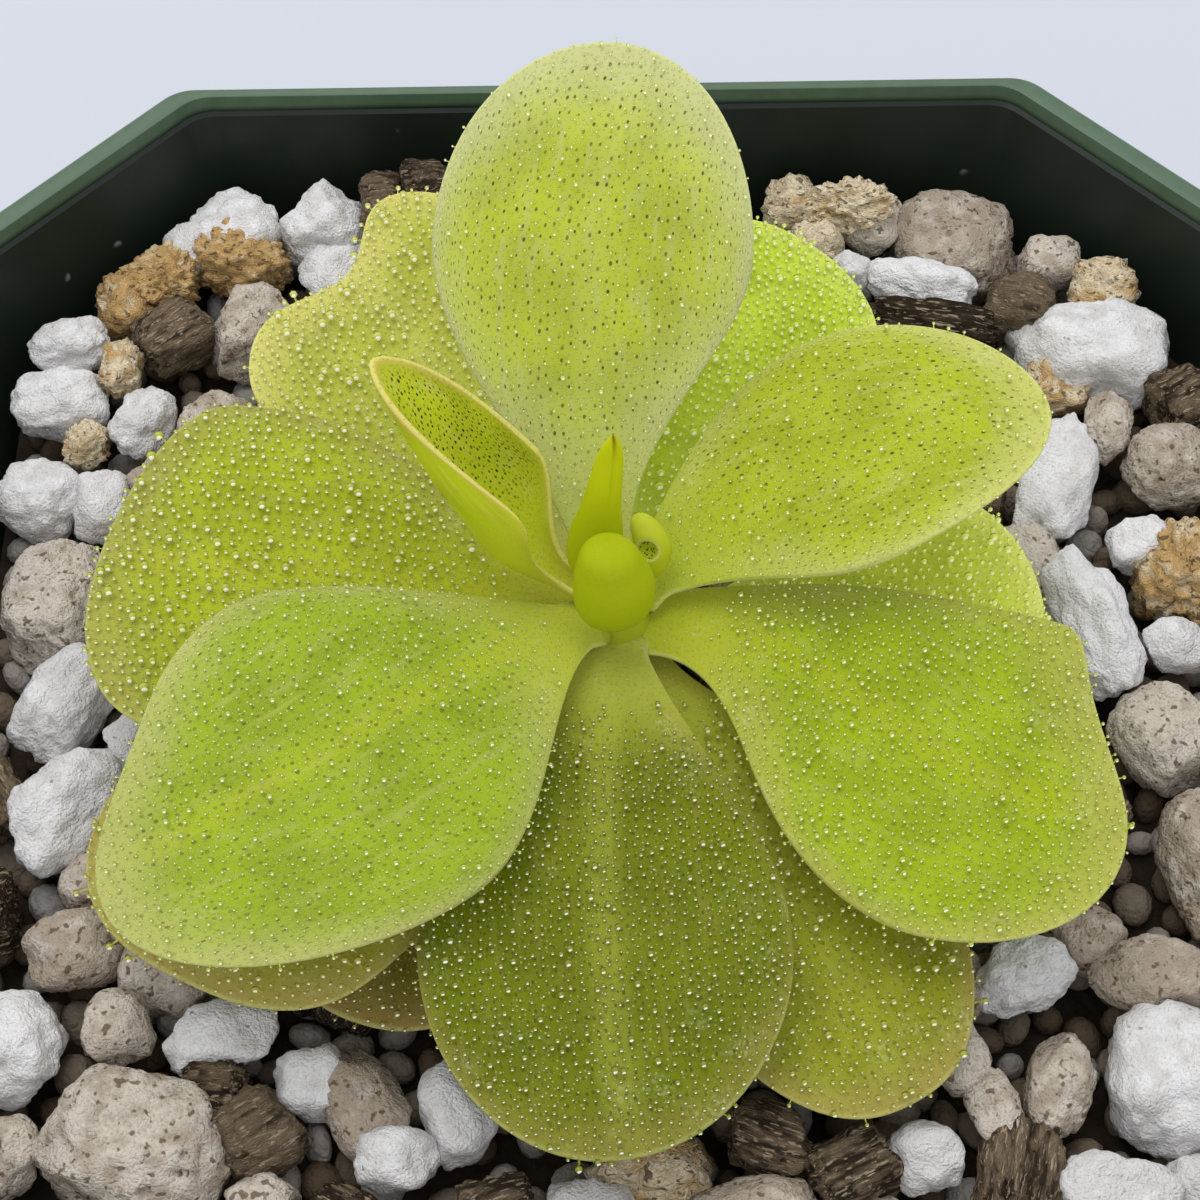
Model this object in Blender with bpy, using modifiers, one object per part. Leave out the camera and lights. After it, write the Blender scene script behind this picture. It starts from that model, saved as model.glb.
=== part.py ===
# A butterwort rosette growing in a gritty mix in a square pot with cut corners.
# +Z is up, +X is to the right and -Y is the front. The origin is the middle of the pot's underside.

import math
import random
from collections import namedtuple

import bmesh
import bpy
from mathutils import Matrix, Vector, noise

MM = 0.001
CLEARANCE = 0.3 * MM
SHARP_ANGLE = math.radians(45)

# The pot: half width across the flats and run of each cut corner, at the levels where the wall changes
POT_HEIGHT = 85.0 * MM
BASE_HALF, BASE_CORNER = 29.5 * MM, 9.6 * MM
UNDER_BAND_HALF, UNDER_BAND_CORNER = 41.6 * MM, 13.5 * MM
BAND_HALF, BAND_CORNER = 43.6 * MM, 14.2 * MM
RIM_HALF, RIM_CORNER = 44.5 * MM, 14.5 * MM
BAND_HEIGHT = 13.0 * MM
FLOOR_THICKNESS = 2.0 * MM
FLOOR_HALF, FLOOR_CORNER = 27.8 * MM, 9.0 * MM
MOUTH_HALF, MOUTH_CORNER = 43.5 * MM, 14.9 * MM
LEDGE_DEPTH = 1.6 * MM
LEDGE_HALF, LEDGE_CORNER = 43.1 * MM, 14.7 * MM
CORNER_TURN = math.radians(45)
CORNER_RADIUS = 3.0 * MM
CORNER_STEPS = 3
LIP_ROUNDING = 0.25 * MM
DRAIN_RADIUS = 4.0 * MM
DRAIN_OFFSET = 17.0 * MM
DRAIN_SIDES = 16
POT_ROUGHNESS = 0.42

# The potting mix: a flat bed, the stones that stand out of it and the hole for the crown
BED_LEVEL = 76.2 * MM
STONE_TOP_LEVEL = 79.6 * MM
LEAF_TO_STONE = 0.5 * MM
LEAF_SAMPLE_STEPS = 14
LEAF_SAMPLE_REACH = 1.2 * MM
WALL_TO_BED = 0.39 * MM
WALL_TO_STONE = 0.55 * MM
WALL_ALLOWANCE = 1.16
FILL_SEED = 11
FILL_TRIES = 4000
FILL_RADIUS_LARGE = 3.2 * MM
FILL_RADIUS_SMALL = 1.8 * MM
FILL_RADIUS_HIDDEN = 2.7 * MM
FILL_OVERLAP = 0.84
FILL_STRETCH = (0.88, 1.16)
FILL_LIFT = (-0.9, 0.1)

# The crown: the short stem that carries the leaves
CROWN_X, CROWN_Y = 0.2 * MM, 2.3 * MM
CROWN_RADIUS = 2.6 * MM
CROWN_BOTTOM = 69.0 * MM
CROWN_TOP = 83.7 * MM
CROWN_ROUNDING = 0.8 * MM
CROWN_SIDES = 20
CROWN_ROUGHNESS = 0.5
LEAF_BASE_RADIUS = 3.0

# Leaf blades. The rows of a blade's grid stop just short of the tip, where its rounded end closes.
# LEAF_ARM is how far the ends of a leaf's curve steer it, as a share of its length.
BLADE_THICKNESS = 0.9 * MM
BLADE_LENGTH_STEPS = 8
BLADE_WIDTH_STEPS = 8
BLADE_LAST_ROW = 0.93
LEAF_ARM = 0.36
LEAF_ROUGHNESS = 0.38

# A leaf runs from the crown to its tip along one curve. heading, rise, fall, turn, roll and cup are
# degrees; height, tip, width, neck, notch depth and wave are millimetres. widest is how far along the
# blade full width is reached, power rounds the tip, cup curls the blade's edges up, taper draws a folded
# leaf in towards its tip and flare, from 0 to 1, widens a leaf early.
Leaf = namedtuple(
    "Leaf",
    "heading height tip rise fall width neck widest cup turn roll power notch wave waves taper flare",
    defaults=(0, 0, 2.2, None, 0.0, 2, 0.0, 0.0),
)

LEAVES = {
    "old_leaf_front": Leaf(
        243, 78.7, (-14.8, -23.4, 79.9), 6, -8, 15.3, 3.0, 0.63, 8, turn=11, power=2.38, wave=0.3
    ),
    "lower_leaf_front_left": Leaf(
        216, 80.3, (-24.8, -21.3, 81.6), 6, -12, 20.5, 3.2, 0.67, 6, turn=18.3, power=2.75, wave=0.3
    ),
    "lower_leaf_front_right": Leaf(
        299, 80.3, (16.0, -29.2, 81.4), 5, -4, 17.1, 3.6, 0.53, 6, power=2.4, wave=0.3, waves=3
    ),
    "lower_leaf_right": Leaf(
        358, 80.3, (26.6, 3.0, 82.4), 10, -6, 17.1, 2.6, 0.66, 8, turn=4.3, power=2.14
    ),
    "lower_leaf_back_right": Leaf(
        64, 80.3, (13.9, 30.8, 83.2), 8, 0, 18.7, 2.6, 0.66, 8, turn=-15.8, power=2.24
    ),
    "lower_leaf_back_left": Leaf(
        128, 80.3, (-22.5, 31.6, 83.0), 8, 0, 22.9, 2.6, 0.59, 8, turn=28.8, power=2.12,
        notch=(5.6, 0.0, 0.5),
    ),
    "leaf_left": Leaf(
        173.5, 81.8, (-31.2, 4.5, 85.5), 14, -8, 23.8, 4.9, 0.76, 6, turn=-6.8, power=2.04, wave=0.3,
        flare=1.0,
    ),
    "leaf_front": Leaf(
        265, 81.9, (0.6, -32.9, 84.0), 14, -6, 20.8, 4.6, 0.64, 8, turn=7.9, power=2.06,
        wave=0.25, waves=3, flare=0.64,
    ),
    "leaf_right_front": Leaf(
        347, 81.8, (28.7, -14.6, 87.0), 18, 0, 21.6, 4.8, 0.71, 6, turn=30.4, power=1.85, wave=0.3,
        flare=0.13,
    ),
    "leaf_front_left": Leaf(
        215.8, 83.5, (-28.6, -17.6, 88.0), 30, -26, 23.0, 3.8, 0.52, -8, turn=-29.4, power=1.9, flare=0.41
    ),
    "leaf_back": Leaf(
        100.8, 83.4, (1.7, 28.6, 104.0), 38, 22, 19.3, 3.4, 0.61, 12, turn=-11.5, power=1.99, flare=0.06
    ),
    "leaf_right_back": Leaf(
        34, 83.4, (26.0, 8.2, 94.0), 32, 6, 16.2, 3.3, 0.57, 10, turn=-10.5, power=1.88, flare=0.73
    ),
    "leaf_folded": Leaf(
        158, 83.6, (-13.4, 8.2, 100.0), 22, 58, 13.4, 2.8, 0.42, 110, turn=-6, roll=20, power=1.6,
        taper=0.25,
    ),
}

# The young leaves in the middle are still rolled up tight, each a closed body through oval sections from
# its foot to its tip. x, y and z are a section's middle, breadth and depth are half its size along X and
# Y, all in millimetres.
Section = namedtuple("Section", "x y z breadth depth")

ROLLED_LEAVES = {
    "furled_leaf": (
        Section(-0.50, 3.00, 84.05, 0.0, 0.0),
        Section(-0.80, 3.35, 84.7, 1.15, 0.60),
        Section(-0.97, 3.85, 86.0, 1.64, 0.75),
        Section(-0.83, 4.50, 87.8, 1.62, 0.80),
        Section(-0.51, 5.00, 89.8, 1.22, 0.70),
        Section(-0.22, 5.45, 91.7, 1.00, 0.60),
        Section(0.04, 5.90, 93.4, 0.80, 0.45),
        Section(0.20, 6.10, 94.6, 0.45, 0.28),
        Section(0.27, 6.20, 95.4, 0.0, 0.0),
    ),
    "curled_leaf": (
        Section(0.10, 0.70, 84.05, 0.0, 0.0),
        Section(0.10, 0.35, 84.7, 1.25, 0.95),
        Section(0.10, 0.25, 85.8, 2.00, 1.60),
        Section(0.18, 0.30, 87.1, 2.40, 2.05),
        Section(0.18, 0.50, 88.5, 2.40, 2.10),
        Section(0.02, 0.75, 89.8, 2.05, 1.80),
        Section(-0.15, 1.00, 91.0, 1.45, 1.30),
        Section(-0.25, 1.15, 91.7, 0.0, 0.0),
    ),
    "small_curled_leaf": (
        Section(2.15, 3.30, 84.45, 0.0, 0.0),
        Section(2.30, 3.45, 84.9, 0.70, 0.60),
        Section(2.52, 3.70, 85.7, 1.05, 0.95),
        Section(2.58, 4.10, 86.7, 1.15, 1.00),
        Section(2.28, 4.50, 87.7, 0.98, 0.88),
        Section(1.90, 4.85, 88.5, 0.60, 0.50),
        Section(1.75, 4.95, 88.9, 0.0, 0.0),
    ),
}
ROLLED_LEAF_STEPS = 14

# The mouth of the smallest leaf: the middle of its opening, the way it faces, and its size in millimetres
MOUTH = Vector((2.20, 3.42, 87.3))
MOUTH_FACES = Vector((-0.35, -0.60, 0.72)).normalized()
MOUTH_RADIUS = 0.80
MOUTH_DEPTH = 0.50

LEAF_COLOURS = {
    "old_leaf_front": (0.29, 0.27, 0.03),
    "lower_leaf_front_left": (0.40, 0.42, 0.06),
    "lower_leaf_front_right": (0.33, 0.36, 0.04),
    "lower_leaf_back_left": (0.40, 0.50, 0.06),
}
LEAF_COLOUR = (0.38, 0.52, 0.04)
ROLLED_LEAF_COLOUR = (0.42, 0.56, 0.02)

# Stones seen at the surface. x, y, length, breadth and lift are millimetres: lift raises or sinks the
# stone's top from the usual level. turn is degrees, and length lies along X before it.
Stone = namedtuple("Stone", "kind x y length breadth turn lift", defaults=(0, 0.0))

STONES = (
    Stone("perlite", -26.8, 38.6, 6.6, 5.8, 10, 1.2),
    Stone("perlite", -19.8, 38.4, 6.4, 6.6, 0, 1.4),
    Stone("perlite", -18.4, 33.4, 5.6, 6.2, 30),
    Stone("perlite", -30.2, 36.6, 4.4, 3.8, 60, 0.4),
    Stone("perlite", -36.8, 27.2, 5.6, 4.0, 15),
    Stone("perlite", -37.2, 22.4, 6.8, 5.4, 10, 0.6),
    Stone("perlite", -38.2, 14.6, 6.0, 5.2, -20),
    Stone("perlite", -33.2, 13.8, 4.2, 5.2, 0, 0.2),
    Stone("perlite", -31.4, 20.8, 4.0, 5.4, -15),
    Stone("perlite", -34.4, -1.0, 8.0, 5.4, 60),
    Stone("perlite", -33.2, -8.4, 8.4, 6.4, 50, 0.6),
    Stone("perlite", -35.4, -23.6, 6.8, 6.4, 0, 0.6),
    Stone("perlite", -22.8, -23.4, 6.4, 4.6, 15),
    Stone("perlite", -12.4, -30.6, 5.0, 3.8, -5),
    Stone("perlite", -9.2, -27.6, 4.4, 6.4, 10),
    Stone("perlite", -17.4, -25.6, 4.6, 4.4, 20),
    Stone("perlite", 17.0, -31.0, 4.4, 4.0, 0),
    Stone("perlite", 23.6, -20.2, 6.0, 4.6, 25),
    Stone("perlite", 31.6, -26.4, 7.4, 8.4, 0, 1.0),
    Stone("perlite", 27.4, -33.6, 7.2, 5.4, -10, 0.4),
    Stone("perlite", 30.6, 3.8, 5.6, 10.2, 15, 0.8),
    Stone("perlite", 29.6, 14.6, 5.2, 10.6, -20, 0.4),
    Stone("perlite", 35.2, 26.4, 11.2, 8.2, -15, 1.2),
    Stone("perlite", 22.2, 31.2, 7.8, 3.8, -18, 0.2),
    Stone("perlite", 17.2, 32.4, 3.2, 2.8, 0),
    Stone("perlite", 34.4, 9.6, 4.0, 4.4, 0),
    Stone("perlite", 35.8, 1.8, 4.4, 3.6, 0),
    Stone("pumice", -27.2, -29.4, 11.2, 9.4, -10, 1.4),
    Stone("pumice", -37.4, 6.6, 6.8, 9.6, -10, 0.6),
    Stone("pumice", -24.6, 28.8, 6.4, 7.2, 0, 0.2),
    Stone("pumice", -31.6, -17.6, 6.4, 4.6, 15),
    Stone("pumice", -28.8, -22.6, 4.4, 4.4, 0),
    Stone("pumice", -14.4, -27.2, 4.6, 7.2, 25),
    Stone("pumice", 7.6, -34.4, 8.4, 5.0, 0, 0.4),
    Stone("pumice", 21.2, -28.4, 3.2, 4.6, 20),
    Stone("pumice", 25.0, -27.0, 4.0, 6.2, -15),
    Stone("pumice", 32.0, -20.4, 8.8, 5.0, -10),
    Stone("pumice", 35.6, -13.0, 6.2, 9.4, 0, 0.6),
    Stone("pumice", 34.4, -4.4, 6.4, 7.2, 30, 0.2),
    Stone("pumice", 37.4, 15.6, 6.2, 5.6, 0, 0.8),
    Stone("pumice", 33.6, 18.8, 3.4, 5.6, -10),
    Stone("pumice", 25.2, 36.6, 9.2, 8.2, 0, 0.6),
    Stone("pumice", 19.0, 37.4, 4.6, 5.2, 0, 0.4),
    Stone("pumice", 32.0, 34.0, 4.6, 4.4, 0),
    Stone("pumice", 19.4, -25.2, 3.6, 4.4, 0),
    Stone("vermiculite", -25.4, 34.6, 7.2, 5.2, -15, 0.8),
    Stone("vermiculite", -31.0, 32.4, 5.6, 4.8, 20, 0.6),
    Stone("vermiculite", -34.4, 31.6, 4.2, 5.0, 0, 0.2),
    Stone("vermiculite", -35.0, 18.4, 3.2, 3.2, 0),
    Stone("vermiculite", -33.0, 24.8, 3.0, 4.6, 0),
    Stone("vermiculite", 17.6, 40.2, 6.4, 4.4, 0, 1.6),
    Stone("vermiculite", 13.8, 38.6, 4.4, 4.2, 0, 0.4),
    Stone("vermiculite", 14.8, 34.8, 4.2, 4.0, 30),
    Stone("vermiculite", 35.8, 31.4, 4.6, 4.2, 0, 0.8),
    Stone("vermiculite", 38.4, 7.2, 6.2, 7.4, 0, 0.8),
    Stone("bark", -29.8, 27.6, 5.0, 4.4, 40, 0.4),
    Stone("bark", -12.4, 40.2, 3.6, 4.8, 10, 2.6),
    Stone("bark", -15.8, 39.6, 3.0, 4.8, 0, 1.2),
    Stone("bark", 28.6, 29.4, 4.6, 4.2, -20, 0.4),
    Stone("bark", 22.4, 27.6, 8.8, 3.2, -10),
    Stone("bark", 39.6, 20.6, 4.2, 4.6, 30, 0.6),
    Stone("bark", -38.4, -15.6, 5.4, 5.2, 20, 0.4),
    Stone("bark", -20.4, -29.0, 4.6, 4.8, 30),
    Stone("bark", -22.8, -26.8, 3.6, 3.8, 0),
    Stone("bark", 13.0, -31.6, 5.0, 4.4, 25),
    Stone("bark", 8.4, -29.8, 4.6, 3.8, -20),
    Stone("bark", -6.8, -33.6, 4.0, 3.6, 15),
    Stone("bark", -15.2, -34.0, 4.2, 3.4, -30),
)

# How boxy each kind of stone is (2 is an ellipsoid), and how lumpy
SQUARENESS = {"perlite": 2.3, "pumice": 2.4, "vermiculite": 2.8, "bark": 3.6}
LUMPINESS = {"perlite": 0.16, "pumice": 0.12, "vermiculite": 0.18, "bark": 0.14}
FILL_KINDS = ("perlite", "pumice", "perlite", "pumice", "vermiculite", "bark", "pumice")
LUMP_PITCH = 1.3
STONE_DETAIL_LENGTH = 6.0
LARGE_STONE_SUBDIVISIONS = 2
SMALL_STONE_SUBDIVISIONS = 1

POT_COLOUR = (0.022, 0.060, 0.032)
MIX_COLOUR = (0.52, 0.49, 0.45)
MIX_ROUGHNESS = 0.9
CROWN_COLOUR = (0.30, 0.36, 0.05)


def clear_scene():
    for item in list(bpy.data.objects):
        bpy.data.objects.remove(item, do_unlink=True)


def new_collection(name):
    group = bpy.data.collections.new(name)
    bpy.context.scene.collection.children.link(group)
    return group


def material(name, colour, roughness):
    made = bpy.data.materials.new(name)
    made.use_nodes = True
    shader = made.node_tree.nodes["Principled BSDF"]
    shader.inputs["Base Color"].default_value = (*colour, 1.0)
    shader.inputs["Roughness"].default_value = roughness
    shader.inputs["Metallic"].default_value = 0.0
    return made


def add_object(name, shape, group, finish=None):
    """Makes an object of a finished bmesh, which is freed."""
    mesh = bpy.data.meshes.new(name)
    shape.to_mesh(mesh)
    shape.free()
    made = bpy.data.objects.new(name, mesh)
    group.objects.link(made)
    if finish:
        mesh.materials.append(finish)
    return made


def applied(target):
    """Replaces an object's mesh by the one its modifiers make."""
    graph = bpy.context.evaluated_depsgraph_get()
    mesh = bpy.data.meshes.new_from_object(target.evaluated_get(graph))
    target.modifiers.clear()
    target.data = mesh


def add_rounding(target, width, steps):
    """Rounds an object's sharp edges."""
    rounding = target.modifiers.new("rounding", "BEVEL")
    rounding.width = width
    rounding.segments = steps
    rounding.limit_method = "ANGLE"
    rounding.angle_limit = SHARP_ANGLE


def as_cutter(tool):
    tool.hide_render = True
    tool.display_type = "WIRE"


# Pot


def rounded_octagon(half, corner):
    """A square of the given half width with cut corners, each of its eight corners a short arc."""
    inner = half - corner
    sharp = [
        (half, inner), (inner, half), (-inner, half), (-half, inner),
        (-half, -inner), (-inner, -half), (inner, -half), (half, -inner),
    ]
    setback = CORNER_RADIUS * math.tan(CORNER_TURN / 2)
    points = []
    for index, spot in enumerate(sharp):
        here = Vector(spot)
        before = (Vector(sharp[index - 1]) - here).normalized()
        after = (Vector(sharp[(index + 1) % 8]) - here).normalized()
        middle = here + (before + after).normalized() * CORNER_RADIUS / math.cos(CORNER_TURN / 2)
        first = here + before * setback - middle
        for step in range(CORNER_STEPS):
            turned = Matrix.Rotation(CORNER_TURN * step / (CORNER_STEPS - 1), 2) @ first
            points.append(middle + turned)
    return points


def loft(levels):
    """Joins a stack of rounded octagons, each (height, half width, corner), and caps both ends."""
    shape = bmesh.new()
    rings = [
        [shape.verts.new((spot.x, spot.y, height)) for spot in rounded_octagon(half, corner)]
        for height, half, corner in levels
    ]
    shape.faces.new(rings[0][::-1])
    for here, there in zip(rings, rings[1:]):
        for index in range(len(here)):
            shape.faces.new((here[index - 1], here[index], there[index], there[index - 1]))
    shape.faces.new(rings[-1])
    return shape


def inner_wall(height, inset=0.0):
    """Half width and corner of the pot's inner wall at a height, drawn in by an inset."""
    low = FLOOR_THICKNESS
    high = POT_HEIGHT - LEDGE_DEPTH
    share = (height - low) / (high - low)
    half = FLOOR_HALF + (LEDGE_HALF - FLOOR_HALF) * share
    corner = FLOOR_CORNER + (LEDGE_CORNER - FLOOR_CORNER) * share
    return half - inset, corner - inset * (2 - math.sqrt(2))


def build_pot(parts, cutters):
    band_bottom = POT_HEIGHT - BAND_HEIGHT
    ledge = POT_HEIGHT - LEDGE_DEPTH
    shape = loft([
        (0.0, BASE_HALF, BASE_CORNER),
        (band_bottom, UNDER_BAND_HALF, UNDER_BAND_CORNER),
        (band_bottom, BAND_HALF, BAND_CORNER),
        (POT_HEIGHT, RIM_HALF, RIM_CORNER),
        (POT_HEIGHT, MOUTH_HALF, MOUTH_CORNER),
        (ledge, MOUTH_HALF, MOUTH_CORNER),
        (ledge, LEDGE_HALF, LEDGE_CORNER),
        (FLOOR_THICKNESS, FLOOR_HALF, FLOOR_CORNER),
    ])
    pot = add_object("pot", shape, parts, material("pot", POT_COLOUR, POT_ROUGHNESS))
    add_rounding(pot, LIP_ROUNDING, 1)
    for x in (-DRAIN_OFFSET, DRAIN_OFFSET):
        for y in (-DRAIN_OFFSET, DRAIN_OFFSET):
            drain = bmesh.new()
            bmesh.ops.create_cone(
                drain, cap_ends=True, segments=DRAIN_SIDES, radius1=DRAIN_RADIUS, radius2=DRAIN_RADIUS,
                depth=4 * FLOOR_THICKNESS, matrix=Matrix.Translation((x, y, 0)),
            )
            tool = add_object("drain_cutter", drain, cutters)
            as_cutter(tool)
            cut = pot.modifiers.new("drain", "BOOLEAN")
            cut.operation = "DIFFERENCE"
            cut.object = tool
    pot.data.set_sharp_from_angle(angle=SHARP_ANGLE)
    return pot


# Leaves


def ease(amount):
    amount = min(max(amount, 0.0), 1.0)
    return amount * amount * (3 - 2 * amount)


def direction(heading, pitch):
    level = math.cos(pitch)
    return Vector((math.cos(heading) * level, math.sin(heading) * level, math.sin(pitch)))


def round_end(leaf, across):
    """How far along the leaf its rounded outline lies, at a place across from -1 to 1."""
    return leaf.widest + (1 - leaf.widest) * (1 - abs(across) ** leaf.power) ** (1 / leaf.power)


def grid_place(leaf, row, column):
    """Along and across of a place on a grid whose rows lie square across the blade.

    row runs from 0 at the base to 1 at the tip, and column from -1 to 1.
    """
    if row < 0.5:
        reached = leaf.widest * 2 * row
        narrowed = 1.0
    else:
        angle = math.pi / 2 * (2 * row - 1) * BLADE_LAST_ROW
        reached = leaf.widest + (1 - leaf.widest) * math.sin(angle)
        narrowed = (1 - math.sin(angle) ** leaf.power) ** (1 / leaf.power)
    across = narrowed * math.sin(math.pi / 2 * column)
    return reached / round_end(leaf, across), across


def leaf_point(leaf, along, across):
    """A point of the blade's middle sheet, in millimetres: along from 0 to 1, across from -1 to 1."""
    heading = math.radians(leaf.heading)
    start = Vector((CROWN_X / MM, CROWN_Y / MM, leaf.height)) + direction(heading, 0) * LEAF_BASE_RADIUS
    tip = Vector(leaf.tip)
    chord = tip - start
    end_heading = math.atan2(chord.y, chord.x) + math.radians(leaf.turn)
    reach = LEAF_ARM * chord.length
    leave = start + direction(heading, math.radians(leaf.rise)) * reach
    arrive = tip - direction(end_heading, math.radians(leaf.fall)) * reach

    ending = round_end(leaf, across)
    if leaf.notch:
        depth, place, spread = leaf.notch
        ending -= depth / chord.length * math.exp(-(((across - place) / spread) ** 2))
    s = along * ending
    r = 1 - s
    middle = start * r**3 + leave * (3 * r * r * s) + arrive * (3 * r * s * s) + tip * s**3
    ahead = (leave - start) * r * r + (arrive - leave) * (2 * r * s) + (tip - arrive) * s * s
    ahead.normalize()

    swing = (end_heading - heading + math.pi) % (2 * math.pi) - math.pi
    facing = heading + swing * s
    side = Vector((math.sin(facing), -math.cos(facing), 0))
    side = (side - ahead * side.dot(ahead)).normalized()
    side = Matrix.Rotation(math.radians(leaf.roll) * ease(2 * s), 3, ahead) @ side
    up = side.cross(ahead)

    reached = min(max(s / leaf.widest, 0.0), 1.0)
    widened = ease(reached) + leaf.flare * (math.sin(math.pi / 2 * reached) - ease(reached))
    half = (leaf.neck + (leaf.width - leaf.neck) * widened) / 2
    half *= 1 - leaf.taper * s
    cup = math.radians(leaf.cup)
    ripple = leaf.wave * math.sin(2 * math.pi * leaf.waves * s + 2 * across) * across * across * ease(2 * s)
    return (
        middle
        + side * (half / cup * math.sin(cup * across))
        + up * (half / cup * (1 - math.cos(cup * across)) + ripple)
    )


def build_leaf(name, leaf, parts):
    shape = bmesh.new()
    bmesh.ops.create_grid(shape, x_segments=BLADE_LENGTH_STEPS, y_segments=BLADE_WIDTH_STEPS, size=1.0)
    for corner in shape.verts:
        corner.co = leaf_point(leaf, *grid_place(leaf, (corner.co.x + 1) / 2, corner.co.y)) * MM
    bmesh.ops.triangulate(shape, faces=shape.faces, quad_method="FIXED")
    colour = LEAF_COLOURS.get(name, LEAF_COLOUR)
    blade = add_object(name, shape, parts, material(name, colour, LEAF_ROUGHNESS))
    body = blade.modifiers.new("blade", "SOLIDIFY")
    body.thickness = BLADE_THICKNESS
    body.offset = 0.0
    blade.data.shade_smooth()
    return blade


def section_at(sections, share):
    """The section at a share of the way from foot to tip, on a smooth curve through them all."""
    last = len(sections) - 1
    index = min(int(share * last), last - 1)
    part = share * last - index
    start, end = Vector(sections[index]), Vector(sections[index + 1])
    before = Vector(sections[index - 1]) if index else start * 2 - end
    after = Vector(sections[index + 2]) if index + 2 <= last else end * 2 - start
    leave, arrive = (end - before) / 2, (after - start) / 2
    bend = leave + arrive - (end - start) * 2
    return Section(*(start + leave * part + (end - start - leave - bend) * part**2 + bend * part**3))


def pressed_mouth(spot):
    """Presses a point near the small leaf's mouth inwards, so that the mouth is a bowl."""
    aside = spot - MOUTH
    ahead = aside.dot(MOUTH_FACES)
    away = (aside - MOUTH_FACES * ahead).length / MOUTH_RADIUS
    if away > 1 or ahead < -MOUTH_RADIUS:
        return spot
    return spot - MOUTH_FACES * MOUTH_DEPTH * (1 - away * away) ** 2


def build_rolled_leaf(name, sections, parts):
    shape = bmesh.new()
    bmesh.ops.create_uvsphere(
        shape, u_segments=ROLLED_LEAF_STEPS, v_segments=ROLLED_LEAF_STEPS, radius=1.0
    )
    for corner in shape.verts:
        around = corner.co.normalized()
        here = section_at(sections, math.acos(-around.z) / math.pi)
        aside = around.xy.normalized() if around.xy.length > MM else Vector((0, 0))
        spot = Vector((here.x + here.breadth * aside.x, here.y + here.depth * aside.y, here.z))
        if name == "small_curled_leaf":
            spot = pressed_mouth(spot)
        corner.co = spot * MM
    leaf = add_object(name, shape, parts, material(name, ROLLED_LEAF_COLOUR, LEAF_ROUGHNESS))
    leaf.data.shade_smooth()
    return leaf


def build_crown(parts):
    shape = bmesh.new()
    height = CROWN_TOP - CROWN_BOTTOM
    bmesh.ops.create_cone(
        shape, cap_ends=True, segments=CROWN_SIDES, radius1=CROWN_RADIUS, radius2=CROWN_RADIUS, depth=height,
        matrix=Matrix.Translation((CROWN_X, CROWN_Y, CROWN_BOTTOM + height / 2)),
    )
    crown = add_object("crown", shape, parts, material("crown", CROWN_COLOUR, CROWN_ROUGHNESS))
    add_rounding(crown, CROWN_ROUNDING, 2)
    crown.data.shade_smooth()
    return crown


# Potting mix


def leaf_samples():
    """Points over the undersides of all the leaves, to keep the stones below them."""
    shares = [step / LEAF_SAMPLE_STEPS for step in range(LEAF_SAMPLE_STEPS + 1)]
    spots = []
    for leaf in LEAVES.values():
        for along in shares:
            for across in shares:
                spots.append(leaf_point(leaf, along, 2 * across - 1) * MM)
    return spots


def stone_ceiling(x, y, reach, samples):
    """The height that the top of a stone may have below the leaves that pass over it."""
    limit = POT_HEIGHT
    for spot in samples:
        if (spot.x - x) ** 2 + (spot.y - y) ** 2 < (reach + LEAF_SAMPLE_REACH) ** 2:
            limit = min(limit, spot.z)
    return limit - BLADE_THICKNESS / 2 - LEAF_TO_STONE


def inside_wall(x, y, reach):
    """Whether a stone of this reach stands clear of the pot's wall."""
    half, corner = inner_wall(BED_LEVEL, WALL_TO_STONE + reach)
    return max(abs(x), abs(y)) < half and abs(x) + abs(y) < 2 * half - corner


def pushed_inside(stone):
    """The stone moved in until it stands clear of the wall."""
    reach = WALL_ALLOWANCE * max(stone.length, stone.breadth) * MM / 2
    half, corner = inner_wall(BED_LEVEL, WALL_TO_STONE + reach)
    x = min(max(stone.x * MM, -half), half)
    y = min(max(stone.y * MM, -half), half)
    excess = max(abs(x) + abs(y) - (2 * half - corner), 0.0) / 2
    x -= math.copysign(excess, x)
    y -= math.copysign(excess, y)
    return stone._replace(x=x / MM, y=y / MM)


def filler_stones(samples):
    """Small stones dropped at random where no other stone lies, large ones first."""
    dice = random.Random(FILL_SEED)
    taken = [(stone.x * MM, stone.y * MM, (stone.length + stone.breadth) * MM / 4) for stone in STONES]
    half, _ = inner_wall(BED_LEVEL)
    fillers = []
    for attempt in range(FILL_TRIES):
        share = attempt / FILL_TRIES
        radius = FILL_RADIUS_LARGE + (FILL_RADIUS_SMALL - FILL_RADIUS_LARGE) * share
        x = dice.uniform(-half, half)
        y = dice.uniform(-half, half)
        if not inside_wall(x, y, radius):
            continue
        if math.hypot(x - CROWN_X, y - CROWN_Y) < CROWN_RADIUS + radius:
            continue
        if any(math.hypot(x - a, y - b) < FILL_OVERLAP * (radius + c) for a, b, c in taken):
            continue
        hidden = stone_ceiling(x, y, 0.0, samples) < POT_HEIGHT - 2 * LEAF_TO_STONE
        if hidden and radius < FILL_RADIUS_HIDDEN:
            continue
        taken.append((x, y, radius))
        stretch = dice.uniform(*FILL_STRETCH)
        kind = dice.choice(FILL_KINDS)
        turn = dice.uniform(0, 180)
        lift = dice.uniform(*FILL_LIFT)
        length = 2 * radius / MM * stretch
        breadth = 2 * radius / MM / stretch
        fillers.append(Stone(kind, x / MM, y / MM, length, breadth, turn, lift))
    return fillers


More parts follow.
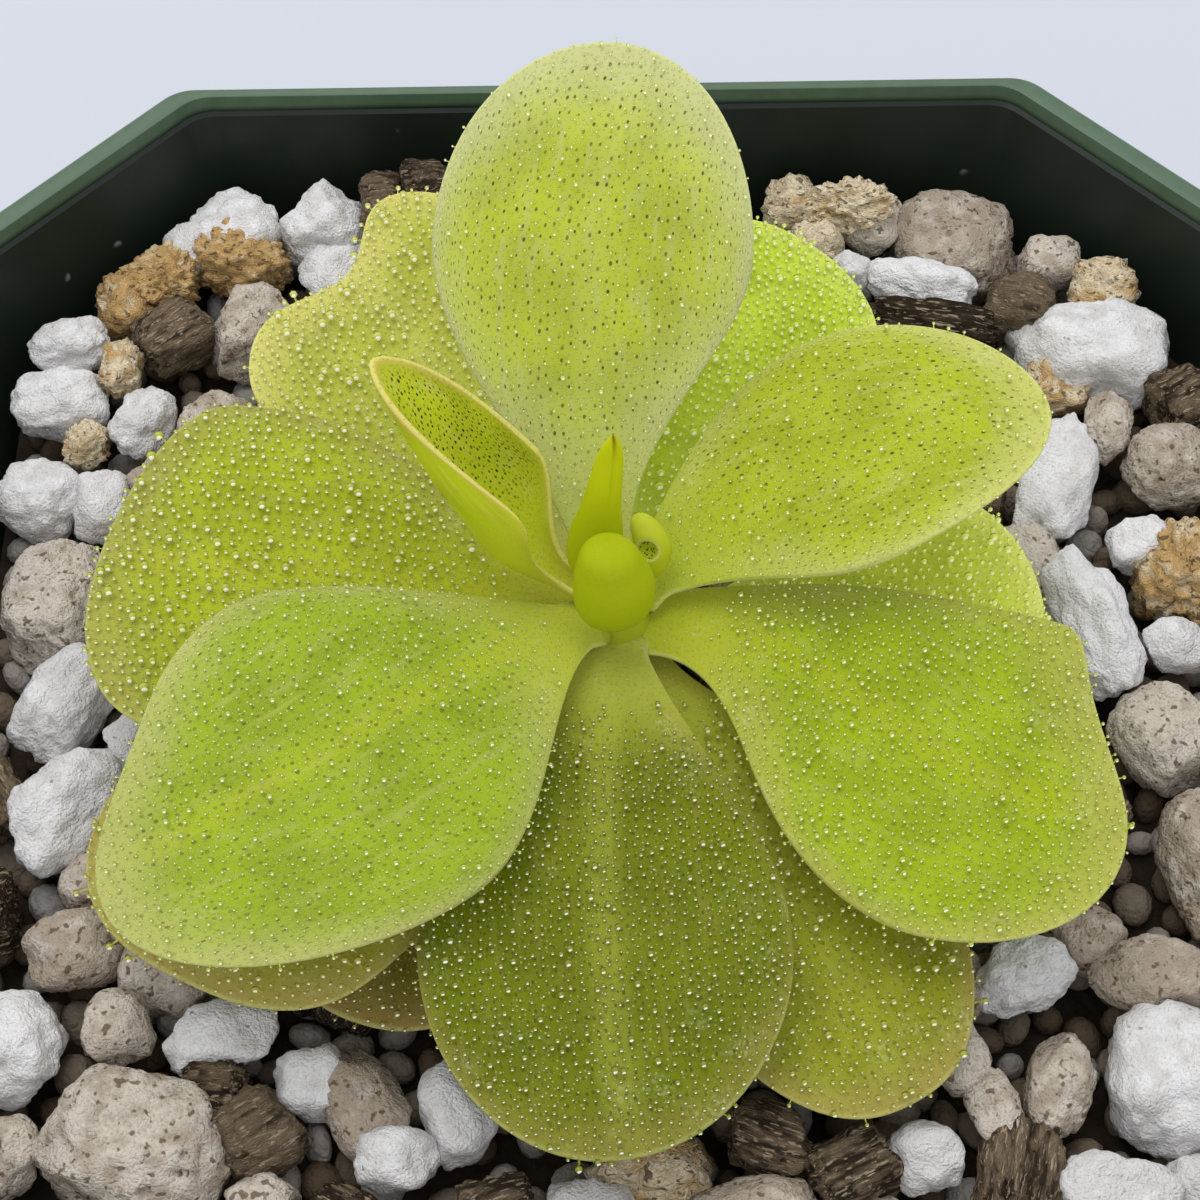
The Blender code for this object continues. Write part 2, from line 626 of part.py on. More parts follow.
def stone_shape(stone, top):
    """A lumpy pebble whose widest level lies at the bed, so that it stands out as a dome."""
    large = max(stone.length, stone.breadth) > STONE_DETAIL_LENGTH
    shape = bmesh.new()
    bmesh.ops.create_icosphere(
        shape, subdivisions=LARGE_STONE_SUBDIVISIONS if large else SMALL_STONE_SUBDIVISIONS, radius=1.0
    )
    power = SQUARENESS[stone.kind]
    lump = LUMPINESS[stone.kind]
    place = Vector((stone.x, stone.y, 0))
    size = Vector((stone.length * MM / 2, stone.breadth * MM / 2, top - BED_LEVEL))
    turn = Matrix.Rotation(math.radians(stone.turn), 3, "Z")
    for corner in shape.verts:
        spot = corner.co.normalized()
        scale = sum(abs(part) ** power for part in spot) ** (-1 / power)
        spot *= scale * (1 + lump * noise.noise(spot * LUMP_PITCH + place))
        corner.co = turn @ Vector(part * full for part, full in zip(spot, size))
        corner.co += Vector((stone.x * MM, stone.y * MM, BED_LEVEL))
    return shape


def build_potting_mix(parts, cutters):
    floor = FLOOR_THICKNESS + CLEARANCE
    shape = loft([
        (floor, *inner_wall(floor, WALL_TO_BED)),
        (BED_LEVEL, *inner_wall(BED_LEVEL, WALL_TO_BED)),
    ])
    mix = add_object("potting_mix", shape, parts, material("potting_mix", MIX_COLOUR, MIX_ROUGHNESS))
    samples = leaf_samples()
    loose = new_collection("loose_stones")
    for stone in map(pushed_inside, (*STONES, *filler_stones(samples))):
        reach = max(stone.length, stone.breadth) * MM / 2
        usual = STONE_TOP_LEVEL + stone.lift * MM
        top = min(usual, stone_ceiling(stone.x * MM, stone.y * MM, reach, samples))
        add_object("stone", stone_shape(stone, top), loose)
    fuse = mix.modifiers.new("stones", "BOOLEAN")
    fuse.operation = "UNION"
    fuse.operand_type = "COLLECTION"
    fuse.collection = loose
    depth = POT_HEIGHT - CROWN_BOTTOM + CLEARANCE
    hole = bmesh.new()
    bmesh.ops.create_cone(
        hole, cap_ends=True, segments=CROWN_SIDES, radius1=CROWN_RADIUS + CLEARANCE,
        radius2=CROWN_RADIUS + CLEARANCE, depth=depth,
        matrix=Matrix.Translation((CROWN_X, CROWN_Y, CROWN_BOTTOM - CLEARANCE + depth / 2)),
    )
    tool = add_object("crown_hole_cutter", hole, cutters)
    as_cutter(tool)
    cut = mix.modifiers.new("crown_hole", "BOOLEAN")
    cut.operation = "DIFFERENCE"
    cut.object = tool
    applied(mix)
    for stone in list(loose.objects):
        bpy.data.objects.remove(stone, do_unlink=True)
    bpy.data.collections.remove(loose)
    return mix


def main():
    clear_scene()
    parts = new_collection("potted_butterwort")
    cutters = new_collection("cutters")
    plant = bpy.data.objects.new("plant", None)
    parts.objects.link(plant)
    build_pot(parts, cutters)
    build_potting_mix(parts, cutters)
    pieces = [build_crown(parts)]
    for name, leaf in LEAVES.items():
        pieces.append(build_leaf(name, leaf, parts))
    for name, sections in ROLLED_LEAVES.items():
        pieces.append(build_rolled_leaf(name, sections, parts))
    for piece in pieces:
        piece.parent = plant


main()
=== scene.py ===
# %% [markdown]
# # A butterwort in a square pot
# The plant is a flat rosette of fleshy yellow-green leaves whose upper sides are covered with tiny
# stalked glands, each with a drop of clear glue on it. It grows in a gritty mix of white, grey and golden
# stones in a dark green plastic pot. The CAD model holds every place and size, so the first step loads it
# as a fixed frame, and everything after that is fitted to it in metres.

# %% Load the frame
import math
import random
from collections import namedtuple

import bmesh
import bpy
import numpy as np
from mathutils import Matrix, Vector, noise


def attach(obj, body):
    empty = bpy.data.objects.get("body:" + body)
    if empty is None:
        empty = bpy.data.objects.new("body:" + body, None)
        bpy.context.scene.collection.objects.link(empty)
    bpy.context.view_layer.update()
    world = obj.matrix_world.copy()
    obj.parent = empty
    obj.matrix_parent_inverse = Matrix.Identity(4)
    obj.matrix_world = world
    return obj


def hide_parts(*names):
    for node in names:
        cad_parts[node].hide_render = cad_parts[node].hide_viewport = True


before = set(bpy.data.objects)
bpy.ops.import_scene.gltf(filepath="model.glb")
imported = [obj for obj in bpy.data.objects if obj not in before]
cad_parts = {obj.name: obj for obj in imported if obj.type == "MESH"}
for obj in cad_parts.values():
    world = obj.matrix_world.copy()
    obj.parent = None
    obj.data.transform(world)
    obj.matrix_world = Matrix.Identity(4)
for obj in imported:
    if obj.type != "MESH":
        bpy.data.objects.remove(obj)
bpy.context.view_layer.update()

# %% [markdown]
# ## Nodes written as Python
# A finish is a tree of small nodes, and a tree that is drawn by hand is hard to read back in a script.
# Here one class wraps an output socket, so that sums on it add Math nodes by themselves, and one method
# adds every other kind of node. The same method serves the Geometry Nodes trees further down.


# %% One wrapped socket
class Wire:
    """An output of a node, which Python's operators can be used on."""

    def __init__(self, board, socket):
        self.board = board
        self.socket = socket

    def out(self, name):
        """Another output of the same node."""
        return Wire(self.board, self.socket.node.outputs[name])

    def math(self, operation, *values):
        return self.board.add("ShaderNodeMath", {"operation": operation}, *values)

    def __add__(self, other):
        return self.math("ADD", self, other)

    def __sub__(self, other):
        return self.math("SUBTRACT", self, other)

    def __rsub__(self, other):
        return self.math("SUBTRACT", other, self)

    def __mul__(self, other):
        return self.math("MULTIPLY", self, other)

    __radd__ = __add__
    __rmul__ = __mul__


print("methods of a wire:", ", ".join(name for name in vars(Wire) if callable(getattr(Wire, name))))


# %% One method for nodes
class Board:
    """A node tree and the method that adds nodes to it."""

    def __init__(self, tree):
        self.tree = tree

    def connect(self, value, socket):
        if isinstance(value, Wire):
            self.tree.links.new(value.socket, socket)
        elif socket.type == "RGBA":
            socket.default_value = (*value, 1.0)
        else:
            socket.default_value = value

    def add(self, kind, settings=None, *values, **named):
        """Adds a node, sets it up, fills its sockets in order or by name, and gives its first output."""
        node = self.tree.nodes.new(kind)
        for key, value in (settings or {}).items():
            if key == "stops":
                self.set_stops(node.color_ramp.elements, value)
            else:
                setattr(node, key, value)
        usable = [socket for socket in node.inputs if socket.enabled]
        for socket, value in zip(usable, values):
            self.connect(value, socket)
        for name, value in named.items():
            spelled = name.replace("_", " ")
            self.connect(value, next(socket for socket in usable if socket.name == spelled))
        shown = [socket for socket in node.outputs if socket.enabled]
        return Wire(self, shown[0]) if shown else None

    def store(self, geometry, name, value, kind="FLOAT"):
        """Keeps a value on every point of a geometry, for a finish to read."""
        settings = {"data_type": kind, "domain": "POINT"}
        return self.add(
            "GeometryNodeStoreNamedAttribute", settings, Geometry=geometry, Name=name, Value=value,
        )

    def chance(self, low, high, kind="FLOAT", **named):
        """A random value for every point, between two bounds."""
        return self.add("FunctionNodeRandomValue", {"data_type": kind}, Min=low, Max=high, **named)

    def set_on_points(self, points, instance, rotation, scale):
        """Puts a copy of a shape on every point, and makes plain mesh of them all."""
        placed = self.add(
            "GeometryNodeInstanceOnPoints", None, Points=points, Instance=instance, Rotation=rotation,
            Scale=scale,
        )
        return self.add("GeometryNodeRealizeInstances", None, placed)

    def set_stops(self, elements, stops):
        while len(elements) < len(stops):
            elements.new(1.0)
        for element, (place, colour) in zip(elements, stops):
            element.position = place
            element.color = (*colour, 1.0)


print("methods of a board:", ", ".join(name for name in vars(Board) if callable(getattr(Board, name))))


# %% A finish is a material with one Principled shader
class Finish(Board):
    def __init__(self, name, **uniform):
        self.material = bpy.data.materials.new(name)
        self.material.use_nodes = True
        # A faint glow needn't be sampled as a lamp
        self.material.cycles.emission_sampling = "NONE"
        super().__init__(self.material.node_tree)
        self.shader = self.tree.nodes["Principled BSDF"]
        for socket, value in uniform.items():
            self.shader.inputs[socket.replace("_", " ")].default_value = value

    def feed(self, socket, value):
        self.connect(value, self.shader.inputs[socket])

    def mixed(self, share, first, second):
        return self.add("ShaderNodeMix", {"data_type": "RGBA"}, share, first, second)

    def between(self, value, low, high):
        """0 below low, 1 above high and a smooth step in between. It falls where low is above high."""
        step = {"interpolation_type": "SMOOTHSTEP"}
        return self.add("ShaderNodeMapRange", step, value, low, high, 0.0, 1.0)

    def stored(self, name, output="Fac"):
        """What the piece's own mesh keeps on its points."""
        return self.add("ShaderNodeAttribute", {"attribute_name": name}).out(output)

    def object_place(self):
        return self.add("ShaderNodeTexCoord").out("Object")

    def cells(self, place, scale, looseness, across="3D"):
        """The distance to the nearest of many scattered centres, and a colour for each centre."""
        settings = {"voronoi_dimensions": across}
        return self.add("ShaderNodeTexVoronoi", settings, Vector=place, Scale=scale, Randomness=looseness)

    def speckle(self, place, scale, detail=2.0):
        """Smooth noise from 0 to 1 over a place."""
        return self.add("ShaderNodeTexNoise", None, Vector=place, Scale=scale, Detail=detail)

    def bump(self, height, depth, strength=1.0):
        normal = self.add("ShaderNodeBump", None, Strength=strength, Distance=depth, Height=height)
        self.feed("Normal", normal)


print("node helpers ready")

# %% [markdown]
# ## Adding a piece
# A finished piece stands at the origin with its place in its mesh, rides on the one body of this object
# and, where the CAD model has it in a plainer shape, stands in for that node. One helper does all of
# that, and one turns arrays into a mesh, because meshes built from arrays take a fraction of the time
# that vertex-by-vertex building does.

# %% Helpers for pieces
MM = 0.001


def mesh_of(name, points, faces, **attributes):
    """A smooth mesh from points in millimetres, with point attributes of one or three numbers."""
    mesh = bpy.data.meshes.new(name)
    mesh.from_pydata((np.asarray(points) * MM).tolist(), [], faces)
    for key, values in attributes.items():
        values = np.asarray(values, np.float32)
        kind, field = ("FLOAT_VECTOR", "vector") if values.ndim == 2 else ("FLOAT", "value")
        mesh.attributes.new(key, kind, "POINT").data.foreach_set(field, values.ravel())
    mesh.shade_smooth()
    return mesh


def add_piece(name, mesh, finish, nodes=()):
    mesh.materials.clear()
    mesh.materials.append(finish.material)
    piece = bpy.data.objects.new(name, mesh)
    bpy.context.scene.collection.objects.link(piece)
    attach(piece, "root")
    if nodes:
        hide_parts(*nodes)
    return piece


def with_nodes(name, mesh, tree, values):
    """The plain mesh that a Geometry Nodes tree makes of a mesh, with the tree's inputs set by name."""
    carrier = bpy.data.objects.new(name, mesh)
    bpy.context.scene.collection.objects.link(carrier)
    modifier = carrier.modifiers.new("nodes", "NODES")
    modifier.node_group = tree
    for item in tree.interface.items_tree:
        if item.in_out == "INPUT" and item.name in values:
            modifier[item.identifier] = values[item.name]
    graph = bpy.context.evaluated_depsgraph_get()
    made = bpy.data.meshes.new_from_object(carrier.evaluated_get(graph))
    bpy.data.objects.remove(carrier)
    return made


def geometry_tree(name, sockets):
    """An empty Geometry Nodes tree with named inputs, and the wires that come from them."""
    tree = bpy.data.node_groups.new(name, "GeometryNodeTree")
    tree.interface.new_socket("Geometry", in_out="OUTPUT", socket_type="NodeSocketGeometry")
    tree.interface.new_socket("Geometry", in_out="INPUT", socket_type="NodeSocketGeometry")
    for label, kind in sockets.items():
        tree.interface.new_socket(label, in_out="INPUT", socket_type="NodeSocket" + kind)
    board = Board(tree)
    return board, board.add("NodeGroupInput")


print("piece helpers ready")

# %% [markdown]
# ## The pot
# The real pot is thin injection-moulded plastic, square with cut corners, with a taller band round the
# rim. Its shape follows one rule: a stack of rounded octagons. The CAD pot does that with few faces, so
# here the same levels are lofted again with rounder corners and a soft lip, which catches the light the
# way a moulded edge does.

# %% Sizes of the pot, in millimetres and radians
POT_HEIGHT = 85.0
LEDGE = 83.4
FLOOR_THICKNESS = 2.0
CORNER_RADIUS = 3.0
CORNER_STEPS = 9
EIGHTH_TURN = math.radians(45)
DRAIN_RADIUS = 4.0
DRAIN_OFFSET = 17.0
DRILL_LENGTH = 8.0
SHARP_EDGE = math.radians(35)

# Each level is a height, the half width across the flats and the run of the cut corner
OUTSIDE = [
    (0.0, 28.7, 9.3), (0.25, 29.3, 9.5), (0.9, 29.5, 9.6), (71.2, 41.5, 13.5), (71.7, 41.9, 13.6),
    (71.8, 43.3, 14.1), (72.2, 43.6, 14.2), (84.3, 44.42, 14.48), (84.8, 44.35, 14.46), (85.0, 44.15, 14.4),
]
INSIDE = [
    (85.0, 43.75, 14.95), (84.9, 43.55, 14.92), (84.6, 43.5, 14.9), (83.6, 43.45, 14.88),
    (83.4, 43.15, 14.72), (82.8, 43.07, 14.68), (2.5, 27.9, 9.05), (2.0, 27.5, 8.9),
]


def rounded_octagon(half, corner):
    inner = half - corner
    sharp = [
        (half, inner), (inner, half), (-inner, half), (-half, inner),
        (-half, -inner), (-inner, -half), (inner, -half), (half, -inner),
    ]
    setback = CORNER_RADIUS * math.tan(EIGHTH_TURN / 2)
    points = []
    for index, spot in enumerate(sharp):
        here = Vector(spot)
        before = (Vector(sharp[index - 1]) - here).normalized()
        after = (Vector(sharp[(index + 1) % 8]) - here).normalized()
        middle = here + (before + after).normalized() * CORNER_RADIUS / math.cos(EIGHTH_TURN / 2)
        first = here + before * setback - middle
        for step in range(CORNER_STEPS):
            turned = Matrix.Rotation(EIGHTH_TURN * step / (CORNER_STEPS - 1), 2) @ first
            points.append(middle + turned)
    return points


print("points round the rim:", len(rounded_octagon(*OUTSIDE[-1][1:])))


# %% Loft the pot and drill its drain holes
def loft(levels):
    shape = bmesh.new()
    rings = [
        [shape.verts.new((spot.x * MM, spot.y * MM, height * MM)) for spot in rounded_octagon(half, corner)]
        for height, half, corner in levels
    ]
    shape.faces.new(rings[0][::-1])
    for here, there in zip(rings, rings[1:]):
        for index in range(len(here)):
            shape.faces.new((here[index - 1], here[index], there[index], there[index - 1]))
    shape.faces.new(rings[-1])
    return shape


def pot_mesh():
    mesh = bpy.data.meshes.new("pot_wall")
    shape = loft(OUTSIDE + INSIDE)
    shape.to_mesh(mesh)
    shape.free()
    pot = bpy.data.objects.new("pot_blank", mesh)
    bpy.context.scene.collection.objects.link(pot)
    tools = []
    for x in (-DRAIN_OFFSET, DRAIN_OFFSET):
        for y in (-DRAIN_OFFSET, DRAIN_OFFSET):
            drill = bmesh.new()
            bmesh.ops.create_cone(
                drill, cap_ends=True, segments=32, radius1=DRAIN_RADIUS * MM, radius2=DRAIN_RADIUS * MM,
                depth=DRILL_LENGTH * MM, matrix=Matrix.Translation((x * MM, y * MM, 0)),
            )
            bit = bpy.data.meshes.new("drill")
            drill.to_mesh(bit)
            drill.free()
            tools.append(bpy.data.objects.new("drill", bit))
            bpy.context.scene.collection.objects.link(tools[-1])
            cut = pot.modifiers.new("drain", "BOOLEAN")
            cut.operation = "DIFFERENCE"
            cut.object = tools[-1]
    graph = bpy.context.evaluated_depsgraph_get()
    made = bpy.data.meshes.new_from_object(pot.evaluated_get(graph))
    for item in (pot, *tools):
        bpy.data.objects.remove(item)
    made.set_sharp_from_angle(angle=SHARP_EDGE)
    return made


print("levels of the pot's wall:", len(OUTSIDE + INSIDE))

# %% [markdown]
# The plastic is dark green with a faint satin gloss. Its walls are painted darker than the plastic, as
# painted shade, and its lip paler, partly dust and partly painted light where the lip faces up. A few
# crumbs of dust stick to its walls. All of that is mixed from noise on Object coordinates, which stay put
# on the pot in every view.

# %% Finish of the pot
plastic = Finish("green_plastic", Roughness=0.4, Specular_IOR_Level=0.3)
spot = plastic.object_place()
height = plastic.add("ShaderNodeSeparateXYZ", None, spot).out("Z") * 1000
cloud = plastic.speckle(spot, 60.0, 4.0)
fine = plastic.speckle(spot, 900.0, 3.0)
# Painted shade darkens the wall colour, and painted light, with some dust, lifts the lip
wall = plastic.mixed(cloud, (0.008, 0.013, 0.010), (0.016, 0.027, 0.018))
lip_dust_and_light = plastic.mixed(fine, (0.060, 0.115, 0.064), (0.105, 0.165, 0.102))
lip = plastic.between(height + cloud * 0.3, 83.7, 84.3)
dust_cell = plastic.cells(spot, 330.0, 1.0)
dust_pick = plastic.between(plastic.speckle(spot, 170.0, 1.0), 0.62, 0.68)
dust = (1 - plastic.between(dust_cell, 0.05, 0.16)) * dust_pick
body = plastic.mixed(lip, wall, lip_dust_and_light)
plastic.feed("Base Color", plastic.mixed(dust, body, (0.42, 0.42, 0.36)))
plastic.feed("Roughness", fine * 0.16 + dust * 0.3 + 0.30)
plastic.bump(fine * 0.5 + dust * 0.8, 0.00005)
pot = add_piece("pot_body", pot_mesh(), plastic, ["pot"])
print("pot:", len(pot.data.polygons), "faces")

# %% [markdown]
# ## Leaves
# A butterwort leaf is a fleshy blade that starts narrow at the crown, widens and ends in a round tip. In
# the CAD model each leaf is one curve with a width rule and a cupped section, and the same rule is used
# here on a finer grid. The blade is about a millimetre thick in the middle and thins to a soft rounded
# margin, which a plain Solidify modifier can't do, so both sides are set out from the middle sheet.

# %% Sizes of the leaves, in millimetres and degrees
CROWN_X, CROWN_Y = 0.2, 2.3
LEAF_BASE_RADIUS = 3.0
LEAF_ARM = 0.36
Leaf = namedtuple(
    "Leaf",
    "heading height tip rise fall width neck widest cup turn roll power notch wave waves taper flare",
    defaults=(0, 0, 2.2, None, 0.0, 2, 0.0, 0.0),
)
LEAVES = {
    "old_leaf_front": Leaf(
        243, 78.7, (-14.8, -23.4, 79.9), 6, -8, 15.3, 3.0, 0.63, 8, turn=11, power=2.38, wave=0.3
    ),
    "lower_leaf_front_left": Leaf(
        216, 80.3, (-24.8, -21.3, 81.6), 6, -12, 20.5, 3.2, 0.67, 6, turn=18.3, power=2.75, wave=0.3
    ),
    "lower_leaf_front_right": Leaf(
        299, 80.3, (16.0, -29.2, 81.4), 5, -4, 17.1, 3.6, 0.53, 6, power=2.4, wave=0.3, waves=3
    ),
    "lower_leaf_right": Leaf(
        358, 80.3, (26.6, 3.0, 82.4), 10, -6, 17.1, 2.6, 0.66, 8, turn=4.3, power=2.14
    ),
    "lower_leaf_back_right": Leaf(
        64, 80.3, (13.9, 30.8, 83.2), 8, 0, 18.7, 2.6, 0.66, 8, turn=-15.8, power=2.24
    ),
    "lower_leaf_back_left": Leaf(
        128, 80.3, (-22.5, 31.6, 83.0), 8, 0, 22.9, 2.6, 0.59, 8, turn=28.8, power=2.12,
        notch=(5.6, 0.0, 0.5),
    ),
    "leaf_left": Leaf(
        173.5, 81.8, (-31.2, 4.5, 85.5), 14, -8, 23.8, 4.9, 0.76, 6, turn=-6.8, power=2.04, wave=0.3,
        flare=1.0,
    ),
    "leaf_front": Leaf(
        265, 81.9, (0.6, -32.9, 84.0), 14, -6, 20.8, 4.6, 0.64, 8, turn=7.9, power=2.06,
        wave=0.25, waves=3, flare=0.64,
    ),
    "leaf_right_front": Leaf(
        347, 81.8, (28.7, -14.6, 87.0), 18, 0, 21.6, 4.8, 0.71, 6, turn=30.4, power=1.85, wave=0.3,
        flare=0.13,
    ),
    "leaf_front_left": Leaf(
        215.8, 83.5, (-28.6, -17.6, 88.0), 30, -26, 23.0, 3.8, 0.52, -8, turn=-29.4, power=1.9, flare=0.41
    ),
    "leaf_back": Leaf(
        100.8, 83.4, (1.7, 28.6, 104.0), 38, 22, 19.3, 3.4, 0.61, 12, turn=-11.5, power=1.99, flare=0.06
    ),
    "leaf_right_back": Leaf(
        34, 83.4, (26.0, 8.2, 94.0), 32, 6, 16.2, 3.3, 0.57, 10, turn=-10.5, power=1.88, flare=0.73
    ),
    "leaf_folded": Leaf(
        158, 83.6, (-13.4, 8.2, 100.0), 22, 58, 13.4, 2.8, 0.42, 110, turn=-6, roll=20, power=1.6,
        taper=0.25,
    ),
}
print("widths of the leaves in mm:", [leaf.width for leaf in LEAVES.values()])


# %% The rule that shapes a leaf
def ease(amount):
    amount = min(max(amount, 0.0), 1.0)
    return amount * amount * (3 - 2 * amount)


def direction(heading, pitch):
    level = math.cos(pitch)
    return Vector((math.cos(heading) * level, math.sin(heading) * level, math.sin(pitch)))


def leaf_point(leaf, along, across):
    """A point of the blade's middle sheet, in millimetres: along from 0 to 1, across from -1 to 1."""
    heading = math.radians(leaf.heading)
    start = Vector((CROWN_X, CROWN_Y, leaf.height)) + direction(heading, 0) * LEAF_BASE_RADIUS
    tip = Vector(leaf.tip)
    chord = tip - start
    end_heading = math.atan2(chord.y, chord.x) + math.radians(leaf.turn)
    reach = LEAF_ARM * chord.length
    leave = start + direction(heading, math.radians(leaf.rise)) * reach
    arrive = tip - direction(end_heading, math.radians(leaf.fall)) * reach

    ending = leaf.widest + (1 - leaf.widest) * (1 - abs(across) ** leaf.power) ** (1 / leaf.power)
    if leaf.notch:
        depth, place, spread = leaf.notch
        ending -= depth / chord.length * math.exp(-(((across - place) / spread) ** 2))
    s = along * ending
    r = 1 - s
    middle = start * r**3 + leave * (3 * r * r * s) + arrive * (3 * r * s * s) + tip * s**3
    ahead = (leave - start) * r * r + (arrive - leave) * (2 * r * s) + (tip - arrive) * s * s
    ahead.normalize()

    swing = (end_heading - heading + math.pi) % (2 * math.pi) - math.pi
    facing = heading + swing * s
    side = Vector((math.sin(facing), -math.cos(facing), 0))
    side = (side - ahead * side.dot(ahead)).normalized()
    side = Matrix.Rotation(math.radians(leaf.roll) * ease(2 * s), 3, ahead) @ side
    up = side.cross(ahead)

    reached = min(max(s / leaf.widest, 0.0), 1.0)
    widened = ease(reached) + leaf.flare * (math.sin(math.pi / 2 * reached) - ease(reached))
    half = (leaf.neck + (leaf.width - leaf.neck) * widened) / 2
    half *= 1 - leaf.taper * s
    cup = math.radians(leaf.cup)
    ripple = leaf.wave * math.sin(2 * math.pi * leaf.waves * s + 2 * across) * across * across * ease(2 * s)
    return (
        middle
        + side * (half / cup * math.sin(cup * across))
        + up * (half / cup * (1 - math.cos(cup * across)) + ripple)
    )


for name, leaf in LEAVES.items():
    print(name, "halfway:", [round(part, 1) for part in leaf_point(leaf, 0.5, 0.0)], "mm")

# %% [markdown]
# The grid lines crowd together towards the margins, where the blade turns round its edge. Every point
# also keeps where it lies on the flattened leaf, in millimetres across, along and in from the margin. The
# finishes read that later, so that spots and margins follow the leaf and not the room.

# %% Build a blade with two sides and a rounded margin
BLADE_THICKNESS = 0.9
ROWS, COLUMNS = 56, 42
BASE_OVERLAP = 2.3
MARGIN_ROUNDING = 0.3
MARGIN_HALF_THICKNESS = 0.15
MARGIN_TAPER = 6.0
GROOVE_DEPTH, GROOVE_WIDTH = 0.16, 0.9
SWELL_DEPTH, SWELL_PER_MM = 0.10, 0.30


def middle_sheet(leaf):
    """Points of the leaf's middle sheet, its upward normals, and its flattened places."""
    length = (Vector(leaf.tip) - Vector((CROWN_X, CROWN_Y, leaf.height))).length
    first = -BASE_OVERLAP / length
    points = np.zeros((ROWS + 1, COLUMNS + 1, 3))
    for i in range(ROWS + 1):
        along = first + (1 - first) * math.sin(math.pi / 2 * i / ROWS)
        for j in range(COLUMNS + 1):
            across = math.sin(math.pi / 2 * (2 * j / COLUMNS - 1))
            points[i, j] = leaf_point(leaf, along, max(-1.0, min(1.0, across)))
    normals = np.cross(np.gradient(points, axis=1), np.gradient(points, axis=0))
    normals /= np.linalg.norm(normals, axis=2, keepdims=True)

    steps = np.linalg.norm(np.diff(points, axis=1), axis=2)
    from_left = np.concatenate([np.zeros((ROWS + 1, 1)), np.cumsum(steps, axis=1)], axis=1)
    steps = np.linalg.norm(np.diff(points, axis=0), axis=2)
    from_base = np.concatenate([np.zeros((1, COLUMNS + 1)), np.cumsum(steps, axis=0)], axis=0)
    nearness = sum(
        1 / np.maximum(gap, 1e-6) ** 2
        for gap in (from_left, from_left[:, -1:] - from_left, from_base[-1:] - from_base)
    )
    rim = nearness**-0.5
    across = from_left - from_left[:, COLUMNS // 2:COLUMNS // 2 + 1]
    return points, normals, np.stack([across, from_base, rim], axis=2)


def blade_sides(leaf):
    """The upper and the lower side of a leaf as grids of points, with its flattened places."""
    points, normals, places = middle_sheet(leaf)
    rim = places[..., 2]
    inner = np.clip(rim / MARGIN_TAPER, 0, 1)
    body = MARGIN_HALF_THICKNESS + (BLADE_THICKNESS / 2 - MARGIN_HALF_THICKNESS) * inner * (2 - inner)
    turned = 1 - np.clip(rim / MARGIN_ROUNDING, 0, 1)
    half = body * np.sqrt(np.maximum(1 - turned**2, 0))
    half[:, 0] = half[:, -1] = half[-1] = 0
    seed = Vector((leaf.heading, leaf.height, 0))
    swell = [noise.noise(Vector(spot) * SWELL_PER_MM + seed) for spot in points.reshape(-1, 3)]
    swell = SWELL_DEPTH * np.array(swell).reshape(rim.shape) * inner
    groove = GROOVE_DEPTH * np.exp(-((places[..., 0] / GROOVE_WIDTH) ** 2)) * inner
    top = points + normals * (half + swell - groove)[..., None]
    bottom = points - normals * (half - swell)[..., None]
    return top, bottom, places


def leaf_mesh(name, top, bottom, places):
    """A closed mesh of both sides, which share the points of their margin."""
    rows, columns = top.shape[0], top.shape[1]
    upper = np.arange(rows * columns).reshape(rows, columns)
    shared = np.zeros((rows, columns), bool)
    shared[:, 0] = shared[:, -1] = shared[-1] = True
    lower = np.where(shared, upper, 0)
    lower[~shared] = rows * columns + np.arange((~shared).sum())
    faces = []
    for i in range(rows - 1):
        for j in range(columns - 1):
            for sheet, forward in ((upper, True), (lower, False)):
                ring = [sheet[i, j], sheet[i, j + 1], sheet[i + 1, j + 1], sheet[i + 1, j]]
                faces.append([int(v) for v in (ring if forward else ring[::-1])])
    faces.append([int(v) for v in (*lower[0], *upper[0, -2:0:-1])])
    points = np.concatenate([top.reshape(-1, 3), bottom[~shared]])
    flat = np.concatenate([places.reshape(-1, 3), places[~shared]])
    side = np.concatenate([np.ones(rows * columns), np.zeros((~shared).sum())])
    return mesh_of(name, points, faces, blade=flat, upper=side)


print("points of a blade's side:", (ROWS + 1) * (COLUMNS + 1))

# %% [markdown]
# A leaf's colour isn't one green. The middle is a clear green, the margin and the neck are paler and
# milky, older leaves turn olive and brown, and all of them are peppered with brown gland spots, a little
# longer than wide. Whitish mealy patches lie near the margins. Some of the daylight comes through the thin
# flesh, so that a leaf is never quite dark where another one shades it: a faint glow of its own colour
# stands in for that light. One function builds all of the leaf finishes from a short list of what differs.

# %% Finish of the leaves
GLAND_GAP = 0.38
GLOW = 0.09
MEALY_WHITE = (0.62, 0.64, 0.36)
MEALINESS = 0.3
SPOTS_BEGIN, SPOTS_FULL = 5.0, 11.0
BLUSH = (0.33, 0.17, 0.06)
Look = namedtuple(
    "Look",
    "green margin neck blush spots spot_gap spot_size spot_length spot_colour margin_width",
    defaults=(0.0, 0.5, 0.75, 0.16, 1.35, (0.11, 0.085, 0.015), 3.2),
)


